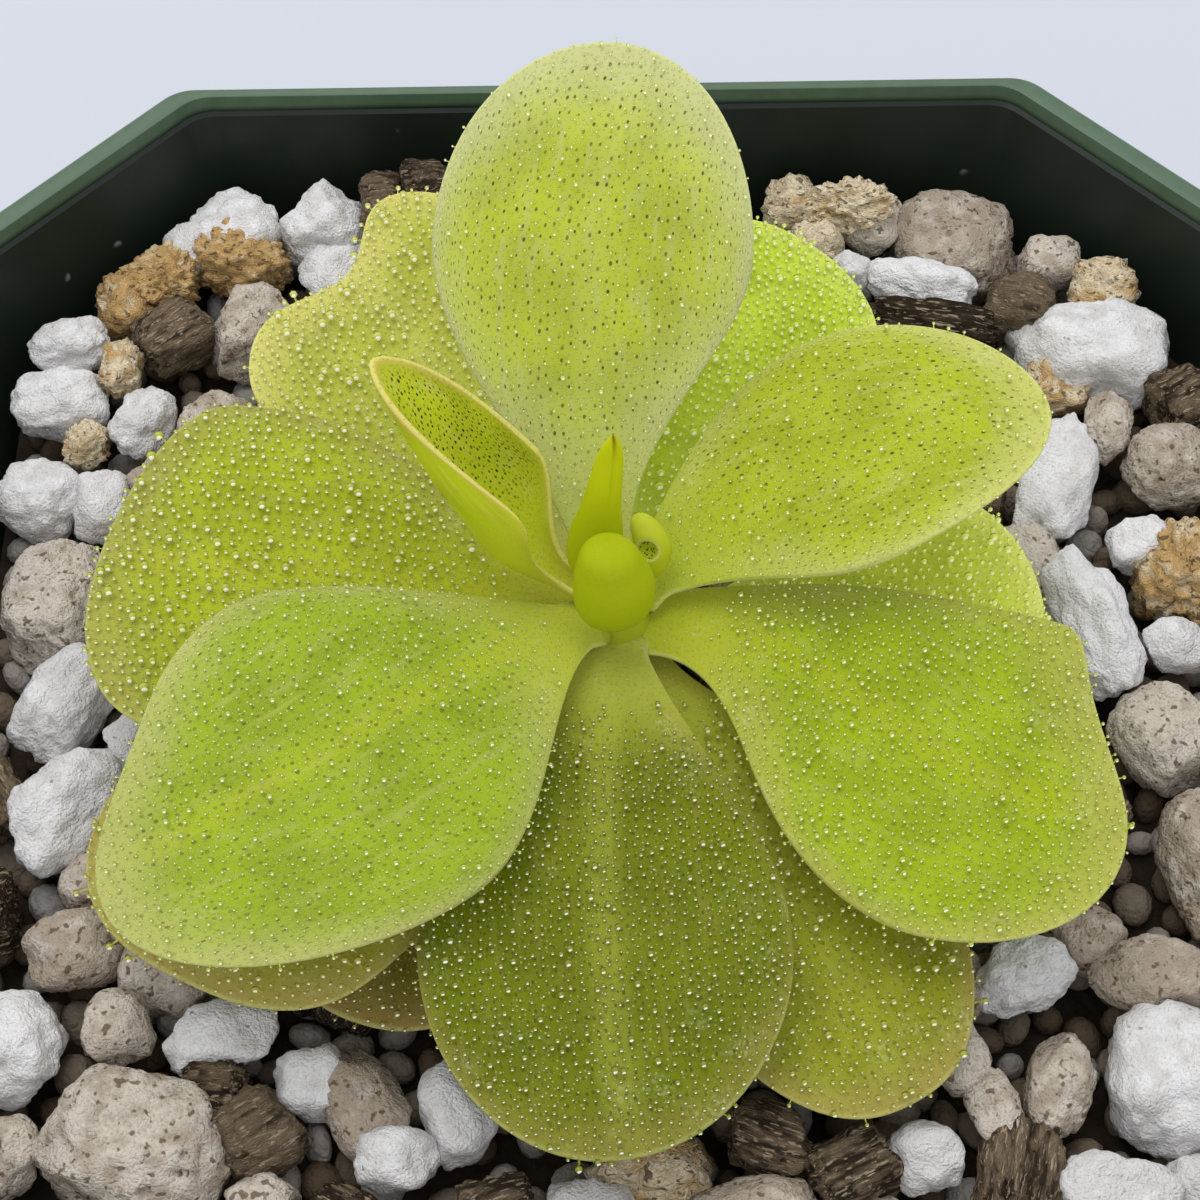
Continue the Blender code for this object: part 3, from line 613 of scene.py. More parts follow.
def leaf_finish(name, look):
    finish = Finish(name, Specular_IOR_Level=0.06, Emission_Strength=GLOW)
    place = finish.stored("blade", "Vector")
    parts = finish.add("ShaderNodeSeparateXYZ", None, place)
    across, along, rim = parts.out("X"), parts.out("Y"), parts.out("Z")
    upper = finish.stored("upper")
    flat = finish.add("ShaderNodeCombineXYZ", None, across, along)
    drawn = finish.add("ShaderNodeCombineXYZ", None, across * 1.5, along * 0.3)

    patches = finish.speckle(flat, 0.16, 2.0)
    streaks = finish.speckle(drawn, 1.0, 2.0)
    grain = finish.speckle(flat, 5.0, 1.0)
    wobble = (patches - 0.5) * 2.4
    margin = 1 - finish.between(rim + wobble, 0.0, look.margin_width)
    neck = 1 - finish.between(along + wobble * 2, 3.0, 13.0)
    rib = (1 - finish.between(across.math("ABSOLUTE", across), 0.2, 1.6)) * 0.35

    deep = tuple(0.80 * part for part in look.green)
    colour = finish.mixed(finish.between(patches, 0.35, 0.62), deep, look.green)
    colour = finish.mixed(finish.between(streaks, 0.48, 0.75) * 0.35, colour, look.margin)
    colour = finish.mixed(rib, colour, look.neck)
    colour = finish.mixed(margin * 0.85, colour, look.margin)
    colour = finish.mixed(neck * 0.8, colour, look.neck)
    if look.blush:
        brown = finish.between(rim + wobble, 2.6, -0.6) * look.blush
        colour = finish.mixed(brown, colour, BLUSH)
    colour = finish.mixed(finish.between(grain, 0.30, 0.70) * 0.16, colour, look.margin)

    meal = finish.between(finish.speckle(flat, 0.30, 3.0), 0.52, 0.66)
    meal = meal * finish.between(finish.speckle(flat, 3.2, 1.0), 0.44, 0.66) * finish.between(rim, 8.0, 1.0)
    colour = finish.mixed(meal * upper * MEALINESS, colour, MEALY_WHITE)
    # A thin band along the edge is painted pale: partly the edge's own paler colour and partly painted
    # light coming through the thin edge
    edge = 1 - finish.between(rim, 0.06, 0.34)
    colour = finish.mixed(edge * 0.6, colour, finish.mixed(0.35, look.margin, (0.8, 0.85, 0.35)))

    spaced = finish.add(
        "ShaderNodeCombineXYZ", None, across * (1 / look.spot_gap),
        along * (1 / look.spot_gap / look.spot_length),
    )
    cells = finish.cells(spaced, 1.0, 0.75, "2D")
    pick = finish.add("ShaderNodeSeparateColor", None, cells.out("Color"))
    wide = (pick * 0.6 + 0.7) * (look.spot_size / look.spot_gap / 2)
    dot = finish.between(cells - wide, 0.04, -0.04)
    fade = finish.between(rim, 0.3, 2.0) * finish.between(along, SPOTS_BEGIN, SPOTS_FULL)
    dots = dot * fade * upper * (pick.out("Green") * 0.5 + 0.5) * look.spots
    colour = finish.mixed(dots, colour, look.spot_colour)

    # Tiny sessile glands are raised and glossy, and their pale colour is a painted glint of light on each
    tiny = finish.cells(flat, 1 / GLAND_GAP, 0.9, "2D")
    tiny_pick = finish.add("ShaderNodeSeparateColor", None, tiny.out("Color"))
    gland = finish.between(tiny - tiny_pick * 0.14, 0.14, 0.06) * upper * (1 - dots)
    pale = finish.mixed(0.5, look.margin, (0.80, 0.86, 0.30))
    colour = finish.mixed(gland * tiny_pick.out("Green") * 0.55, colour, pale)
    finish.feed("Base Color", colour)
    finish.feed("Emission Color", colour)
    finish.feed("Roughness", grain * 0.16 + 0.40 - gland * 0.28)
    finish.bump(gland, 0.0001, 0.8)
    return finish


print("what a look names:", ", ".join(Look._fields))

# %% How each leaf looks
BLACK_BROWN = (0.022, 0.020, 0.006)
LOOKS = {
    "leaf_back": Look(
        (0.46, 0.54, 0.026), (0.54, 0.55, 0.26), (0.50, 0.56, 0.090), spots=1.0, spot_gap=0.68,
        margin_width=6.0,
    ),
    "leaf_right_back": Look(
        (0.37, 0.45, 0.010), (0.54, 0.55, 0.16), (0.37, 0.45, 0.004), spots=1.0, spot_gap=0.68,
        margin_width=4.0,
    ),
    "leaf_front_left": Look(
        (0.28, 0.39, 0.008), (0.46, 0.47, 0.15), (0.43, 0.48, 0.015), spots=0.7, spot_size=0.19,
        spot_length=1.15, margin_width=5.5,
    ),
    "leaf_right_front": Look(
        (0.31, 0.42, 0.003), (0.42, 0.42, 0.09), (0.39, 0.44, 0.010), spots=0.45, margin_width=4.5
    ),
    "leaf_left": Look(
        (0.39, 0.47, 0.012), (0.36, 0.34, 0.08), (0.51, 0.54, 0.030), spots=0.5, margin_width=4.5
    ),
    "leaf_front": Look(
        (0.15, 0.19, 0.001), (0.25, 0.23, 0.040), (0.42, 0.46, 0.060), spots=0.7, spot_gap=0.55,
        spot_size=0.15, spot_colour=(0.05, 0.045, 0.008),
    ),
    # This leaf lies in the shade of the leaves above it; its greens are brighter than its own, as painted
    # light that comes through its thin flesh
    "lower_leaf_back_right": Look((0.50, 0.63, 0.025), (0.60, 0.68, 0.12), (0.62, 0.72, 0.08), spots=0.2),
    "lower_leaf_back_left": Look(
        (0.43, 0.48, 0.045), (0.66, 0.61, 0.18), (0.54, 0.56, 0.13), spots=0.25, margin_width=4.5
    ),
    # This leaf lies in the shade of the leaves above it; its greens are brighter than its own, as painted
    # light that comes through its thin flesh
    "lower_leaf_right": Look((0.66, 0.77, 0.060), (0.76, 0.80, 0.20), (0.66, 0.76, 0.08), spots=0.3),
    "lower_leaf_front_right": Look(
        (0.28, 0.31, 0.012), (0.36, 0.33, 0.07), (0.36, 0.41, 0.03), blush=0.3, spots=0.6, spot_gap=0.65
    ),
    "lower_leaf_front_left": Look(
        (0.36, 0.34, 0.030), (0.46, 0.43, 0.11), (0.40, 0.42, 0.05), blush=0.4, spots=0.5
    ),
    "old_leaf_front": Look(
        (0.19, 0.155, 0.016), (0.27, 0.23, 0.06), (0.28, 0.27, 0.04), blush=0.5, spots=0.7, spot_gap=0.6
    ),
    "leaf_folded": Look(
        (0.50, 0.60, 0.004), (0.70, 0.58, 0.13), (0.50, 0.56, 0.02), blush=0.25, spots=1.0,
        spot_gap=0.42, spot_size=0.17, spot_colour=BLACK_BROWN, margin_width=0.9,
    ),
}
print(len(LOOKS), "leaf finishes described")

# %% Make the leaves
OLD = ("old_leaf_front", "lower_leaf_front_left", "lower_leaf_front_right")
upper_sides = {}
for name, leaf in LEAVES.items():
    top, bottom, places = blade_sides(leaf)
    upper_sides[name] = (top, places)
    mesh = leaf_mesh(name, top, bottom, places)
    slot = "old_leaf" if name in OLD else "leaf"
    add_piece(name + "_blade", mesh, leaf_finish(name + "_flesh", LOOKS[name]), [name])
print("leaves:", len(upper_sides), "with", len(mesh.polygons), "faces each")

# %% [markdown]
# ## Young leaves
# The three leaves in the middle are still rolled up, so they are closed, velvety bodies. Each is a sphere
# whose rings are moved onto oval sections, on a smooth curve from foot to tip. The largest hides the
# growing point, the one behind it is drawn out to a pointed tip with a seam down its front, and the
# smallest has a little mouth in which the dark glands of its upper side can be seen.

# %% Sections of the young leaves, in millimetres
Section = namedtuple("Section", "x y z breadth depth")
SECTION_ROWS = {
    "furled_leaf": (
        (-0.50, 3.00, 84.05, 0.0, 0.0), (-0.80, 3.35, 84.7, 1.15, 0.60),
        (-0.97, 3.85, 86.0, 1.64, 0.75), (-0.83, 4.50, 87.8, 1.62, 0.80),
        (-0.51, 5.00, 89.8, 1.22, 0.70), (-0.22, 5.45, 91.7, 1.00, 0.60),
        (0.04, 5.90, 93.4, 0.80, 0.45), (0.20, 6.10, 94.6, 0.45, 0.28),
        (0.27, 6.20, 95.4, 0.0, 0.0),
    ),
    "curled_leaf": (
        (0.10, 0.70, 84.05, 0.0, 0.0), (0.10, 0.35, 84.7, 1.25, 0.95),
        (0.10, 0.25, 85.8, 2.00, 1.60), (0.18, 0.30, 87.1, 2.40, 2.05),
        (0.18, 0.50, 88.5, 2.40, 2.10), (0.02, 0.75, 89.8, 2.05, 1.80),
        (-0.15, 1.00, 91.0, 1.45, 1.30), (-0.25, 1.15, 91.7, 0.0, 0.0),
    ),
    "small_curled_leaf": (
        (2.15, 3.30, 84.45, 0.0, 0.0), (2.30, 3.45, 84.9, 0.70, 0.60),
        (2.52, 3.70, 85.7, 1.05, 0.95), (2.58, 4.10, 86.7, 1.15, 1.00),
        (2.28, 4.50, 87.7, 0.98, 0.88), (1.90, 4.85, 88.5, 0.60, 0.50),
        (1.75, 4.95, 88.9, 0.0, 0.0),
    ),
}
ROLLED_LEAVES = {name: [Section(*row) for row in rows] for name, rows in SECTION_ROWS.items()}
ROLLED_LEAF_STEPS = 56
MOUTH = Vector((2.20, 3.42, 87.3))
MOUTH_FACES = Vector((-0.35, -0.60, 0.72)).normalized()
MOUTH_RADIUS = 0.80
MOUTH_DEPTH = 0.50
MOUTH_DOT_GAP = 0.20 * MM
SEAM_ANGLE = math.radians(-78)
SEAM_WIDTH = 0.14
SEAM_DEPTH = 0.16
print("sections:", {name: len(sections) for name, sections in ROLLED_LEAVES.items()})


# %% Move a sphere's rings onto the sections
def section_at(sections, share):
    """The section at a share of the way from foot to tip, on a smooth curve through them all."""
    last = len(sections) - 1
    index = min(int(share * last), last - 1)
    part = share * last - index
    start, end = Vector(sections[index]), Vector(sections[index + 1])
    before = Vector(sections[index - 1]) if index else start * 2 - end
    after = Vector(sections[index + 2]) if index + 2 <= last else end * 2 - start
    leave, arrive = (end - before) / 2, (after - start) / 2
    bend = leave + arrive - (end - start) * 2
    return Section(*(start + leave * part + (end - start - leave - bend) * part**2 + bend * part**3))


def mouth_share(spot):
    """1 in the middle of the smallest leaf's mouth, falling to 0 at its edge."""
    aside = spot - MOUTH
    ahead = aside.dot(MOUTH_FACES)
    away = (aside - MOUTH_FACES * ahead).length / MOUTH_RADIUS
    return 0.0 if away > 1 or ahead < -MOUTH_RADIUS else (1 - away * away) ** 2


def rolled_mesh(name):
    ball = bmesh.new()
    bmesh.ops.create_uvsphere(ball, u_segments=ROLLED_LEAF_STEPS, v_segments=ROLLED_LEAF_STEPS, radius=1.0)
    points, shares, mouths, seams = [], [], [], []
    for corner in ball.verts:
        around = corner.co.normalized()
        share = math.acos(max(-1.0, min(1.0, -around.z))) / math.pi
        here = section_at(ROLLED_LEAVES[name], share)
        aside = around.xy.normalized() if around.xy.length > MM else Vector((0, 0))
        spot = Vector((here.x + here.breadth * aside.x, here.y + here.depth * aside.y, here.z))
        mouth = mouth_share(spot) if name == "small_curled_leaf" else 0.0
        seam = 0.0
        if name == "furled_leaf":
            off = (math.atan2(aside.y, aside.x) - SEAM_ANGLE) * here.breadth - 0.5 * (1 - share)
            seam = math.exp(-((off / SEAM_WIDTH) ** 2)) * ease(4 * share - 1.6)
        spot -= MOUTH_FACES * MOUTH_DEPTH * mouth
        spot -= Vector((aside.x, aside.y, 0)) * SEAM_DEPTH * seam
        points.append(spot)
        shares.append(share)
        mouths.append(mouth)
        seams.append(seam)
    faces = [[corner.index for corner in face.verts] for face in ball.faces]
    ball.free()
    return mesh_of(name, points, faces, height=shares, mouth=mouths, seam=seams)


for name, sections in ROLLED_LEAVES.items():
    print(name, "stands", round(section_at(sections, 1.0).z - section_at(sections, 0.0).z, 1), "mm tall")


# %% Finish of the young leaves
def rolled_finish(name, foot, tip):
    finish = Finish(name, Specular_IOR_Level=0.12, Emission_Strength=GLOW)
    spot = finish.object_place()
    height = finish.stored("height")
    mouth = finish.stored("mouth")
    seam = finish.stored("seam")
    cloud = finish.speckle(spot, 350.0, 3.0)
    down = finish.speckle(spot, 6000.0, 2.0)
    colour = finish.mixed(finish.between(height + (cloud - 0.5) * 0.3, 0.25, 0.95), foot, tip)
    colour = finish.mixed(finish.between(down, 0.40, 0.80) * 0.14, colour, (0.50, 0.56, 0.03))
    colour = finish.mixed(seam * finish.between(height, 0.72, 0.97), colour, (0.20, 0.12, 0.01))
    inside = finish.between(mouth, 0.10, 0.35)
    rim = finish.between(mouth, 0.0, 0.06) * (1 - inside)
    colour = finish.mixed(rim * 0.6, colour, (0.60, 0.60, 0.22))
    colour = finish.mixed(inside * 0.8, colour, (0.33, 0.38, 0.012))
    cells = finish.cells(spot, 1 / MOUTH_DOT_GAP, 0.8)
    dots = finish.between(cells, 0.40, 0.26) * inside
    colour = finish.mixed(dots * 0.9, colour, BLACK_BROWN)
    finish.feed("Base Color", colour)
    # Painted light: a faint glow of the leaf's own colour stands in for daylight that comes through the
    # flesh
    finish.feed("Emission Color", colour)
    finish.feed("Roughness", down * 0.2 + 0.42)
    finish.bump(down * 0.3 + cloud * 0.6, 0.00003, 0.6)
    return finish


ROLLED_COLOURS = {
    "furled_leaf": ((0.40, 0.46, 0.004), (0.54, 0.58, 0.003)),
    "curled_leaf": ((0.37, 0.43, 0.006), (0.34, 0.40, 0.002)),
    "small_curled_leaf": ((0.42, 0.48, 0.010), (0.48, 0.53, 0.03)),
}
for name, (foot, tip) in ROLLED_COLOURS.items():
    velvet = rolled_finish(name + "_velvet", foot, tip)
    add_piece(name + "_body", rolled_mesh(name), velvet, [name])
print("young leaves:", ", ".join(ROLLED_COLOURS))

# %% [markdown]
# ## The crown
# The leaves grow from a short, fleshy stem. Between their necks it narrows towards the growing point, so
# it is a stack of rings here, each a height and a radius, with the same kind of flesh as the leaves.

# %% The crown and its finish
CROWN_RINGS = [(69.0, 2.0), (69.4, 2.5), (80.6, 2.6), (82.0, 2.2), (83.2, 1.5), (83.7, 0.6)]
CROWN_STEPS = 32


def crown_mesh():
    points = [
        (CROWN_X + radius * math.cos(math.tau * step / CROWN_STEPS),
         CROWN_Y + radius * math.sin(math.tau * step / CROWN_STEPS), height)
        for height, radius in CROWN_RINGS
        for step in range(CROWN_STEPS)
    ]
    faces = [list(range(CROWN_STEPS))[::-1]]
    for low in range(0, len(points) - CROWN_STEPS, CROWN_STEPS):
        for step in range(CROWN_STEPS):
            after = (step + 1) % CROWN_STEPS
            faces.append([low + step, low + after, low + CROWN_STEPS + after, low + CROWN_STEPS + step])
    faces.append(list(range(len(points) - CROWN_STEPS, len(points))))
    return mesh_of("crown", points, faces)


crown_flesh = Finish("crown_flesh", Roughness=0.5, Specular_IOR_Level=0.12)
spot = crown_flesh.object_place()
cloud = crown_flesh.speckle(spot, 700.0, 3.0)
crown_flesh.feed("Base Color", crown_flesh.mixed(cloud, (0.36, 0.42, 0.01), (0.44, 0.49, 0.03)))
crown_flesh.bump(cloud, 0.0001)
crown = add_piece("crown_body", crown_mesh(), crown_flesh, ["crown"])
print("crown:", len(crown.data.polygons), "faces")

# %% [markdown]
# ## Glue drops
# Each gland is a hair under half a millimetre tall with a drop of clear glue on its end. There are
# thousands of them at an even spacing, which is the work of Geometry Nodes: points are spread over the
# upper side with a least distance between them, and one small drop on its stalk is set on every point,
# turned to stand almost square on the leaf.

# %% The tree that sets drops on a leaf
# Radii of the hairs in millimetres, and the most drops that a square metre may hold
HAIR_FOOT, HAIR_END = 0.05, 0.02
MOST_DROPS = 6.0e7
board, given = geometry_tree("drops_on_a_leaf", {
    "Gap": "Float", "Drop Radius": "Float", "Stalk Height": "Float", "Seed": "Int", "Finish": "Material",
})
gap, radius, stalk = given.out("Gap"), given.out("Drop Radius"), given.out("Stalk Height")
share = board.add("GeometryNodeInputNamedAttribute", {"data_type": "FLOAT"}, "dew")
spread = board.add(
    "GeometryNodeDistributePointsOnFaces", {"distribute_method": "POISSON"}, Mesh=given.out("Geometry"),
    Distance_Min=gap, Density_Max=MOST_DROPS, Density_Factor=share, Seed=given.out("Seed"),
)
ball = board.add("GeometryNodeMeshIcoSphere", None, radius, 1)
ball = board.add("GeometryNodeSetShadeSmooth", None, ball)
raised = board.add("ShaderNodeCombineXYZ", None, 0.0, 0.0, stalk)
ball = board.add("GeometryNodeTransform", None, Geometry=ball, Translation=raised)
ball = board.store(ball, "bead", 1.0)
hair = board.add(
    "GeometryNodeMeshCone", {"fill_type": "NGON"}, Vertices=3, Radius_Top=HAIR_END * MM,
    Radius_Bottom=HAIR_FOOT * MM, Depth=stalk,
)
parts = board.add("GeometryNodeJoinGeometry")
board.connect(ball, parts.socket.node.inputs[0])
board.connect(hair, parts.socket.node.inputs[0])
lean = board.chance((-0.3, -0.3, -3.0), (0.3, 0.3, 3.0), "FLOAT_VECTOR")
turned = board.add("FunctionNodeRotateRotation", {"rotation_space": "LOCAL"}, spread.out("Rotation"), lean)
luck = board.chance(0.0, 1.0, ID=7)
large = luck.math("POWER", luck, 9.0)
size = large * 0.9 + luck * 0.35 + 0.72
solid = board.set_on_points(spread, parts, turned, size)
marked = board.store(solid, "outward", board.add("GeometryNodeInputNormal"), "FLOAT_VECTOR")
painted = board.add("GeometryNodeSetMaterial", None, Geometry=marked, Material=given.out("Finish"))
board.add("NodeGroupOutput", None, painted)
drops_tree = board.tree
print("drop tree:", len(drops_tree.nodes), "nodes")

# %% [markdown]
# The glue is clear, so a drop has the colour of the leaf behind it. The window's light enters it from the
# back and gathers on its other side, where it lights up as a bright crescent. Tracing that light through
# thousands of small drops takes very long, so each drop is a smooth ball of the leaf's own colour, with its
# crescent as painted light, a pale band on the side that faces away from the window, and painted shade in a
# darker band opposite. The ball also glows faintly in its own colours, which is painted light too.

# %% Finish of the drops, and the drops themselves
GATHERS_AT = Vector((0.20, -0.92, 0.12)).normalized()
GLUE_GLOW = 0.25
PAINTED_LIGHT_CRESCENT = (1.0, 1.0, 0.88)
PAINTED_SHADE_BAND = (0.05, 0.06, 0.005)


def glue_finish(name, look):
    glue = Finish(name, Roughness=0.10, IOR=1.4, Specular_IOR_Level=0.5, Emission_Strength=GLUE_GLOW)
    outward = glue.add("ShaderNodeVectorMath", {"operation": "NORMALIZE"}, glue.stored("outward", "Vector"))
    facing = glue.add("ShaderNodeVectorMath", {"operation": "DOT_PRODUCT"}, outward, tuple(GATHERS_AT))
    facing = facing.out("Value")
    bead = glue.stored("bead")
    clear = tuple(0.6 * part + 0.4 * rim for part, rim in zip(look.green, look.margin))
    # Painted shade in a dark band on the side towards the window, and painted light in the pale crescent on
    # the other side
    seen = glue.mixed(glue.between(facing, 0.20, -0.40) * bead * 0.75, clear, PAINTED_SHADE_BAND)
    shown = glue.mixed(glue.between(facing, 0.70, 0.90) * bead, seen, PAINTED_LIGHT_CRESCENT)
    glue.feed("Base Color", shown)
    glue.feed("Emission Color", shown)
    return glue


# Least gap, drop radius and stalk height in millimetres, and how far from the base the drops begin
Dew = namedtuple("Dew", "gap radius stalk bare")
DEW = {
    "old_leaf_front": Dew(0.60, 0.13, 0.42, 8),
    "lower_leaf_front_left": Dew(0.60, 0.13, 0.45, 8),
    "lower_leaf_front_right": Dew(0.58, 0.14, 0.42, 6),
    "lower_leaf_right": Dew(0.56, 0.15, 0.40, 6),
    "lower_leaf_back_right": Dew(0.56, 0.17, 0.32, 4),
    "lower_leaf_back_left": Dew(0.62, 0.18, 0.34, 4),
    "leaf_left": Dew(0.60, 0.18, 0.34, 6),
    "leaf_front": Dew(0.47, 0.13, 0.28, 7),
    "leaf_right_front": Dew(0.50, 0.12, 0.30, 5),
    "leaf_front_left": Dew(0.64, 0.10, 0.24, 5),
    "leaf_back": Dew(0.85, 0.09, 0.26, 3),
    "leaf_right_back": Dew(0.80, 0.10, 0.28, 3),
}


def upper_sheet(name, bare):
    """The upper side of a leaf as an open sheet, with how much dew each point carries."""
    top, places = upper_sides[name]
    rows, columns = top.shape[:2]
    index = np.arange(rows * columns).reshape(rows, columns)
    corners = [index[:-1, :-1], index[:-1, 1:], index[1:, 1:], index[1:, :-1]]
    faces = np.stack(corners, axis=2).reshape(-1, 4).tolist()
    share = np.clip((places[..., 1] - bare) / 4, 0, 1)
    return mesh_of(name, top.reshape(-1, 3), faces, dew=share.ravel())


drop_count = 0
for seed, (name, dew) in enumerate(DEW.items()):
    glue = glue_finish(name + "_glue", LOOKS[name])
    values = {
        "Gap": dew.gap * MM, "Drop Radius": dew.radius * MM, "Stalk Height": dew.stalk * MM,
        "Seed": seed, "Finish": glue.material,
    }
    made = with_nodes(name, upper_sheet(name, dew.bare), drops_tree, values)
    add_piece(name + "_drops", made, glue)
    drop_count += len(made.polygons)
print("drops:", drop_count, "faces in all")

# %% [markdown]
# ## Stones
# The mix is perlite, pumice, flakes of vermiculite and bits of bark. The CAD model fuses them into one
# lumpy bed. Here each stone stands alone, at the same place and size and with the same broad lumps. Flat
# chips are broken off it, and finer relief is laid over it: soft lumps on perlite, pits in pumice, creases
# in vermiculite and fibres in bark. A stone keeps its own coordinates and a random tone, so that no two
# look alike.

# %% Where the stones lie, in millimetres and degrees
Stone = namedtuple("Stone", "kind x y length breadth turn lift", defaults=(0, 0.0))
STONES_BY_KIND = {
    "perlite": (
        (-26.8, 38.6, 6.6, 5.8, 10, 1.2), (-19.8, 38.4, 6.4, 6.6, 0, 1.4), (-18.4, 33.4, 5.6, 6.2, 30),
        (-30.2, 36.6, 4.4, 3.8, 60, 0.4), (-36.8, 27.2, 5.6, 4.0, 15), (-37.2, 22.4, 6.8, 5.4, 10, 0.6),
        (-38.2, 14.6, 6.0, 5.2, -20), (-33.2, 13.8, 4.2, 5.2, 0, 0.2), (-31.4, 20.8, 4.0, 5.4, -15),
        (-34.4, -1.0, 8.0, 5.4, 60), (-33.2, -8.4, 8.4, 6.4, 50, 0.6), (-35.4, -23.6, 6.8, 6.4, 0, 0.6),
        (-22.8, -23.4, 6.4, 4.6, 15), (-12.4, -30.6, 5.0, 3.8, -5), (-9.2, -27.6, 4.4, 6.4, 10),
        (-17.4, -25.6, 4.6, 4.4, 20), (17.0, -31.0, 4.4, 4.0, 0), (23.6, -20.2, 6.0, 4.6, 25),
        (31.6, -26.4, 7.4, 8.4, 0, 1.0), (27.4, -33.6, 7.2, 5.4, -10, 0.4), (30.6, 3.8, 5.6, 10.2, 15, 0.8),
        (29.6, 14.6, 5.2, 10.6, -20, 0.4), (35.2, 26.4, 11.2, 8.2, -15, 1.2),
        (22.2, 31.2, 7.8, 3.8, -18, 0.2), (17.2, 32.4, 3.2, 2.8, 0), (34.4, 9.6, 4.0, 4.4, 0),
        (35.8, 1.8, 4.4, 3.6, 0),
    ),
    "pumice": (
        (-27.2, -29.4, 11.2, 9.4, -10, 1.4), (-37.4, 6.6, 6.8, 9.6, -10, 0.6),
        (-24.6, 28.8, 6.4, 7.2, 0, 0.2), (-31.6, -17.6, 6.4, 4.6, 15), (-28.8, -22.6, 4.4, 4.4, 0),
        (-14.4, -27.2, 4.6, 7.2, 25), (7.6, -34.4, 8.4, 5.0, 0, 0.4), (21.2, -28.4, 3.2, 4.6, 20),
        (25.0, -27.0, 4.0, 6.2, -15), (32.0, -20.4, 8.8, 5.0, -10), (35.6, -13.0, 6.2, 9.4, 0, 0.6),
        (34.4, -4.4, 6.4, 7.2, 30, 0.2), (37.4, 15.6, 6.2, 5.6, 0, 0.8), (33.6, 18.8, 3.4, 5.6, -10),
        (25.2, 36.6, 9.2, 8.2, 0, 0.6), (19.0, 37.4, 4.6, 5.2, 0, 0.4), (32.0, 34.0, 4.6, 4.4, 0),
        (19.4, -25.2, 3.6, 4.4, 0),
    ),
    "vermiculite": (
        (-25.4, 34.6, 7.2, 5.2, -15, 0.8), (-31.0, 32.4, 5.6, 4.8, 20, 0.6),
        (-34.4, 31.6, 4.2, 5.0, 0, 0.2), (-35.0, 18.4, 3.2, 3.2, 0), (-33.0, 24.8, 3.0, 4.6, 0),
        (17.6, 40.2, 6.4, 4.4, 0, 1.6), (13.8, 38.6, 4.4, 4.2, 0, 0.4), (14.8, 34.8, 4.2, 4.0, 30),
        (35.8, 31.4, 4.6, 4.2, 0, 0.8), (38.4, 7.2, 6.2, 7.4, 0, 0.8),
    ),
    "bark": (
        (-29.8, 27.6, 5.0, 4.4, 40, 0.4), (-12.4, 40.2, 3.6, 4.8, 10, 2.6), (-15.8, 39.6, 3.0, 4.8, 0, 1.2),
        (28.6, 29.4, 4.6, 4.2, -20, 0.4), (22.4, 27.6, 8.8, 3.2, -10), (39.6, 20.6, 4.2, 4.6, 30, 0.6),
        (-38.4, -15.6, 5.4, 5.2, 20, 0.4), (-20.4, -29.0, 4.6, 4.8, 30), (-22.8, -26.8, 3.6, 3.8, 0),
        (13.0, -31.6, 5.0, 4.4, 25), (8.4, -29.8, 4.6, 3.8, -20), (-6.8, -33.6, 4.0, 3.6, 15),
        (-15.2, -34.0, 4.2, 3.4, -30),
    ),
}
STONES = [Stone(kind, *row) for kind, rows in STONES_BY_KIND.items() for row in rows]
print("stones placed by hand:", len(STONES))

# %% The room that stones have, in millimetres
BED_LEVEL = 76.2
STONE_TOP_LEVEL = 79.6
LEAF_TO_STONE = 0.5
WALL_TO_STONE = 0.55
WALL_ALLOWANCE = 1.16
# The pot's inner wall at its foot and at the ledge: its half width, and the run of its cut corner
WALL_FOOT, WALL_LEDGE = 27.8, 43.1
CORNER_FOOT, CORNER_LEDGE = 9.0, 14.7
CROWN_RADIUS = 2.6
FILL_SEED = 11
FILL_TRIES = 4000
FILL_RADIUS_LARGE = 3.2
FILL_RADIUS_SMALL = 1.8
FILL_RADIUS_HIDDEN = 2.7
FILL_OVERLAP = 0.84
FILL_STRETCH = (0.88, 1.16)
FILL_LIFT = (-0.9, 0.1)
FILL_KINDS = ("perlite", "pumice", "perlite", "pumice", "vermiculite", "bark", "pumice")
CEILING_STEPS = 14
CEILING_REACH = 1.2
CEILING = np.array([
    leaf_point(leaf, i / CEILING_STEPS, 2 * j / CEILING_STEPS - 1)
    for leaf in LEAVES.values()
    for i in range(CEILING_STEPS + 1)
    for j in range(CEILING_STEPS + 1)
])


def stone_ceiling(x, y, reach):
    """The height that the top of a stone may have below the leaves that pass over it."""
    near = (CEILING[:, 0] - x) ** 2 + (CEILING[:, 1] - y) ** 2 < (reach + CEILING_REACH) ** 2
    limit = min([POT_HEIGHT, *CEILING[near, 2]])
    return limit - BLADE_THICKNESS / 2 - LEAF_TO_STONE


def under_leaf(x, y):
    return stone_ceiling(x, y, 0.0) < POT_HEIGHT - 2 * LEAF_TO_STONE


def inner_wall(height, inset=0.0):
    """Half width and corner of the pot's inner wall at a height, drawn in by an inset."""
    share = (height - FLOOR_THICKNESS) / (LEDGE - FLOOR_THICKNESS)
    half = WALL_FOOT + (WALL_LEDGE - WALL_FOOT) * share
    corner = CORNER_FOOT + (CORNER_LEDGE - CORNER_FOOT) * share
    return half - inset, corner - inset * (2 - math.sqrt(2))


def inside_wall(x, y, reach):
    half, corner = inner_wall(BED_LEVEL, WALL_TO_STONE + reach)
    return max(abs(x), abs(y)) < half and abs(x) + abs(y) < 2 * half - corner


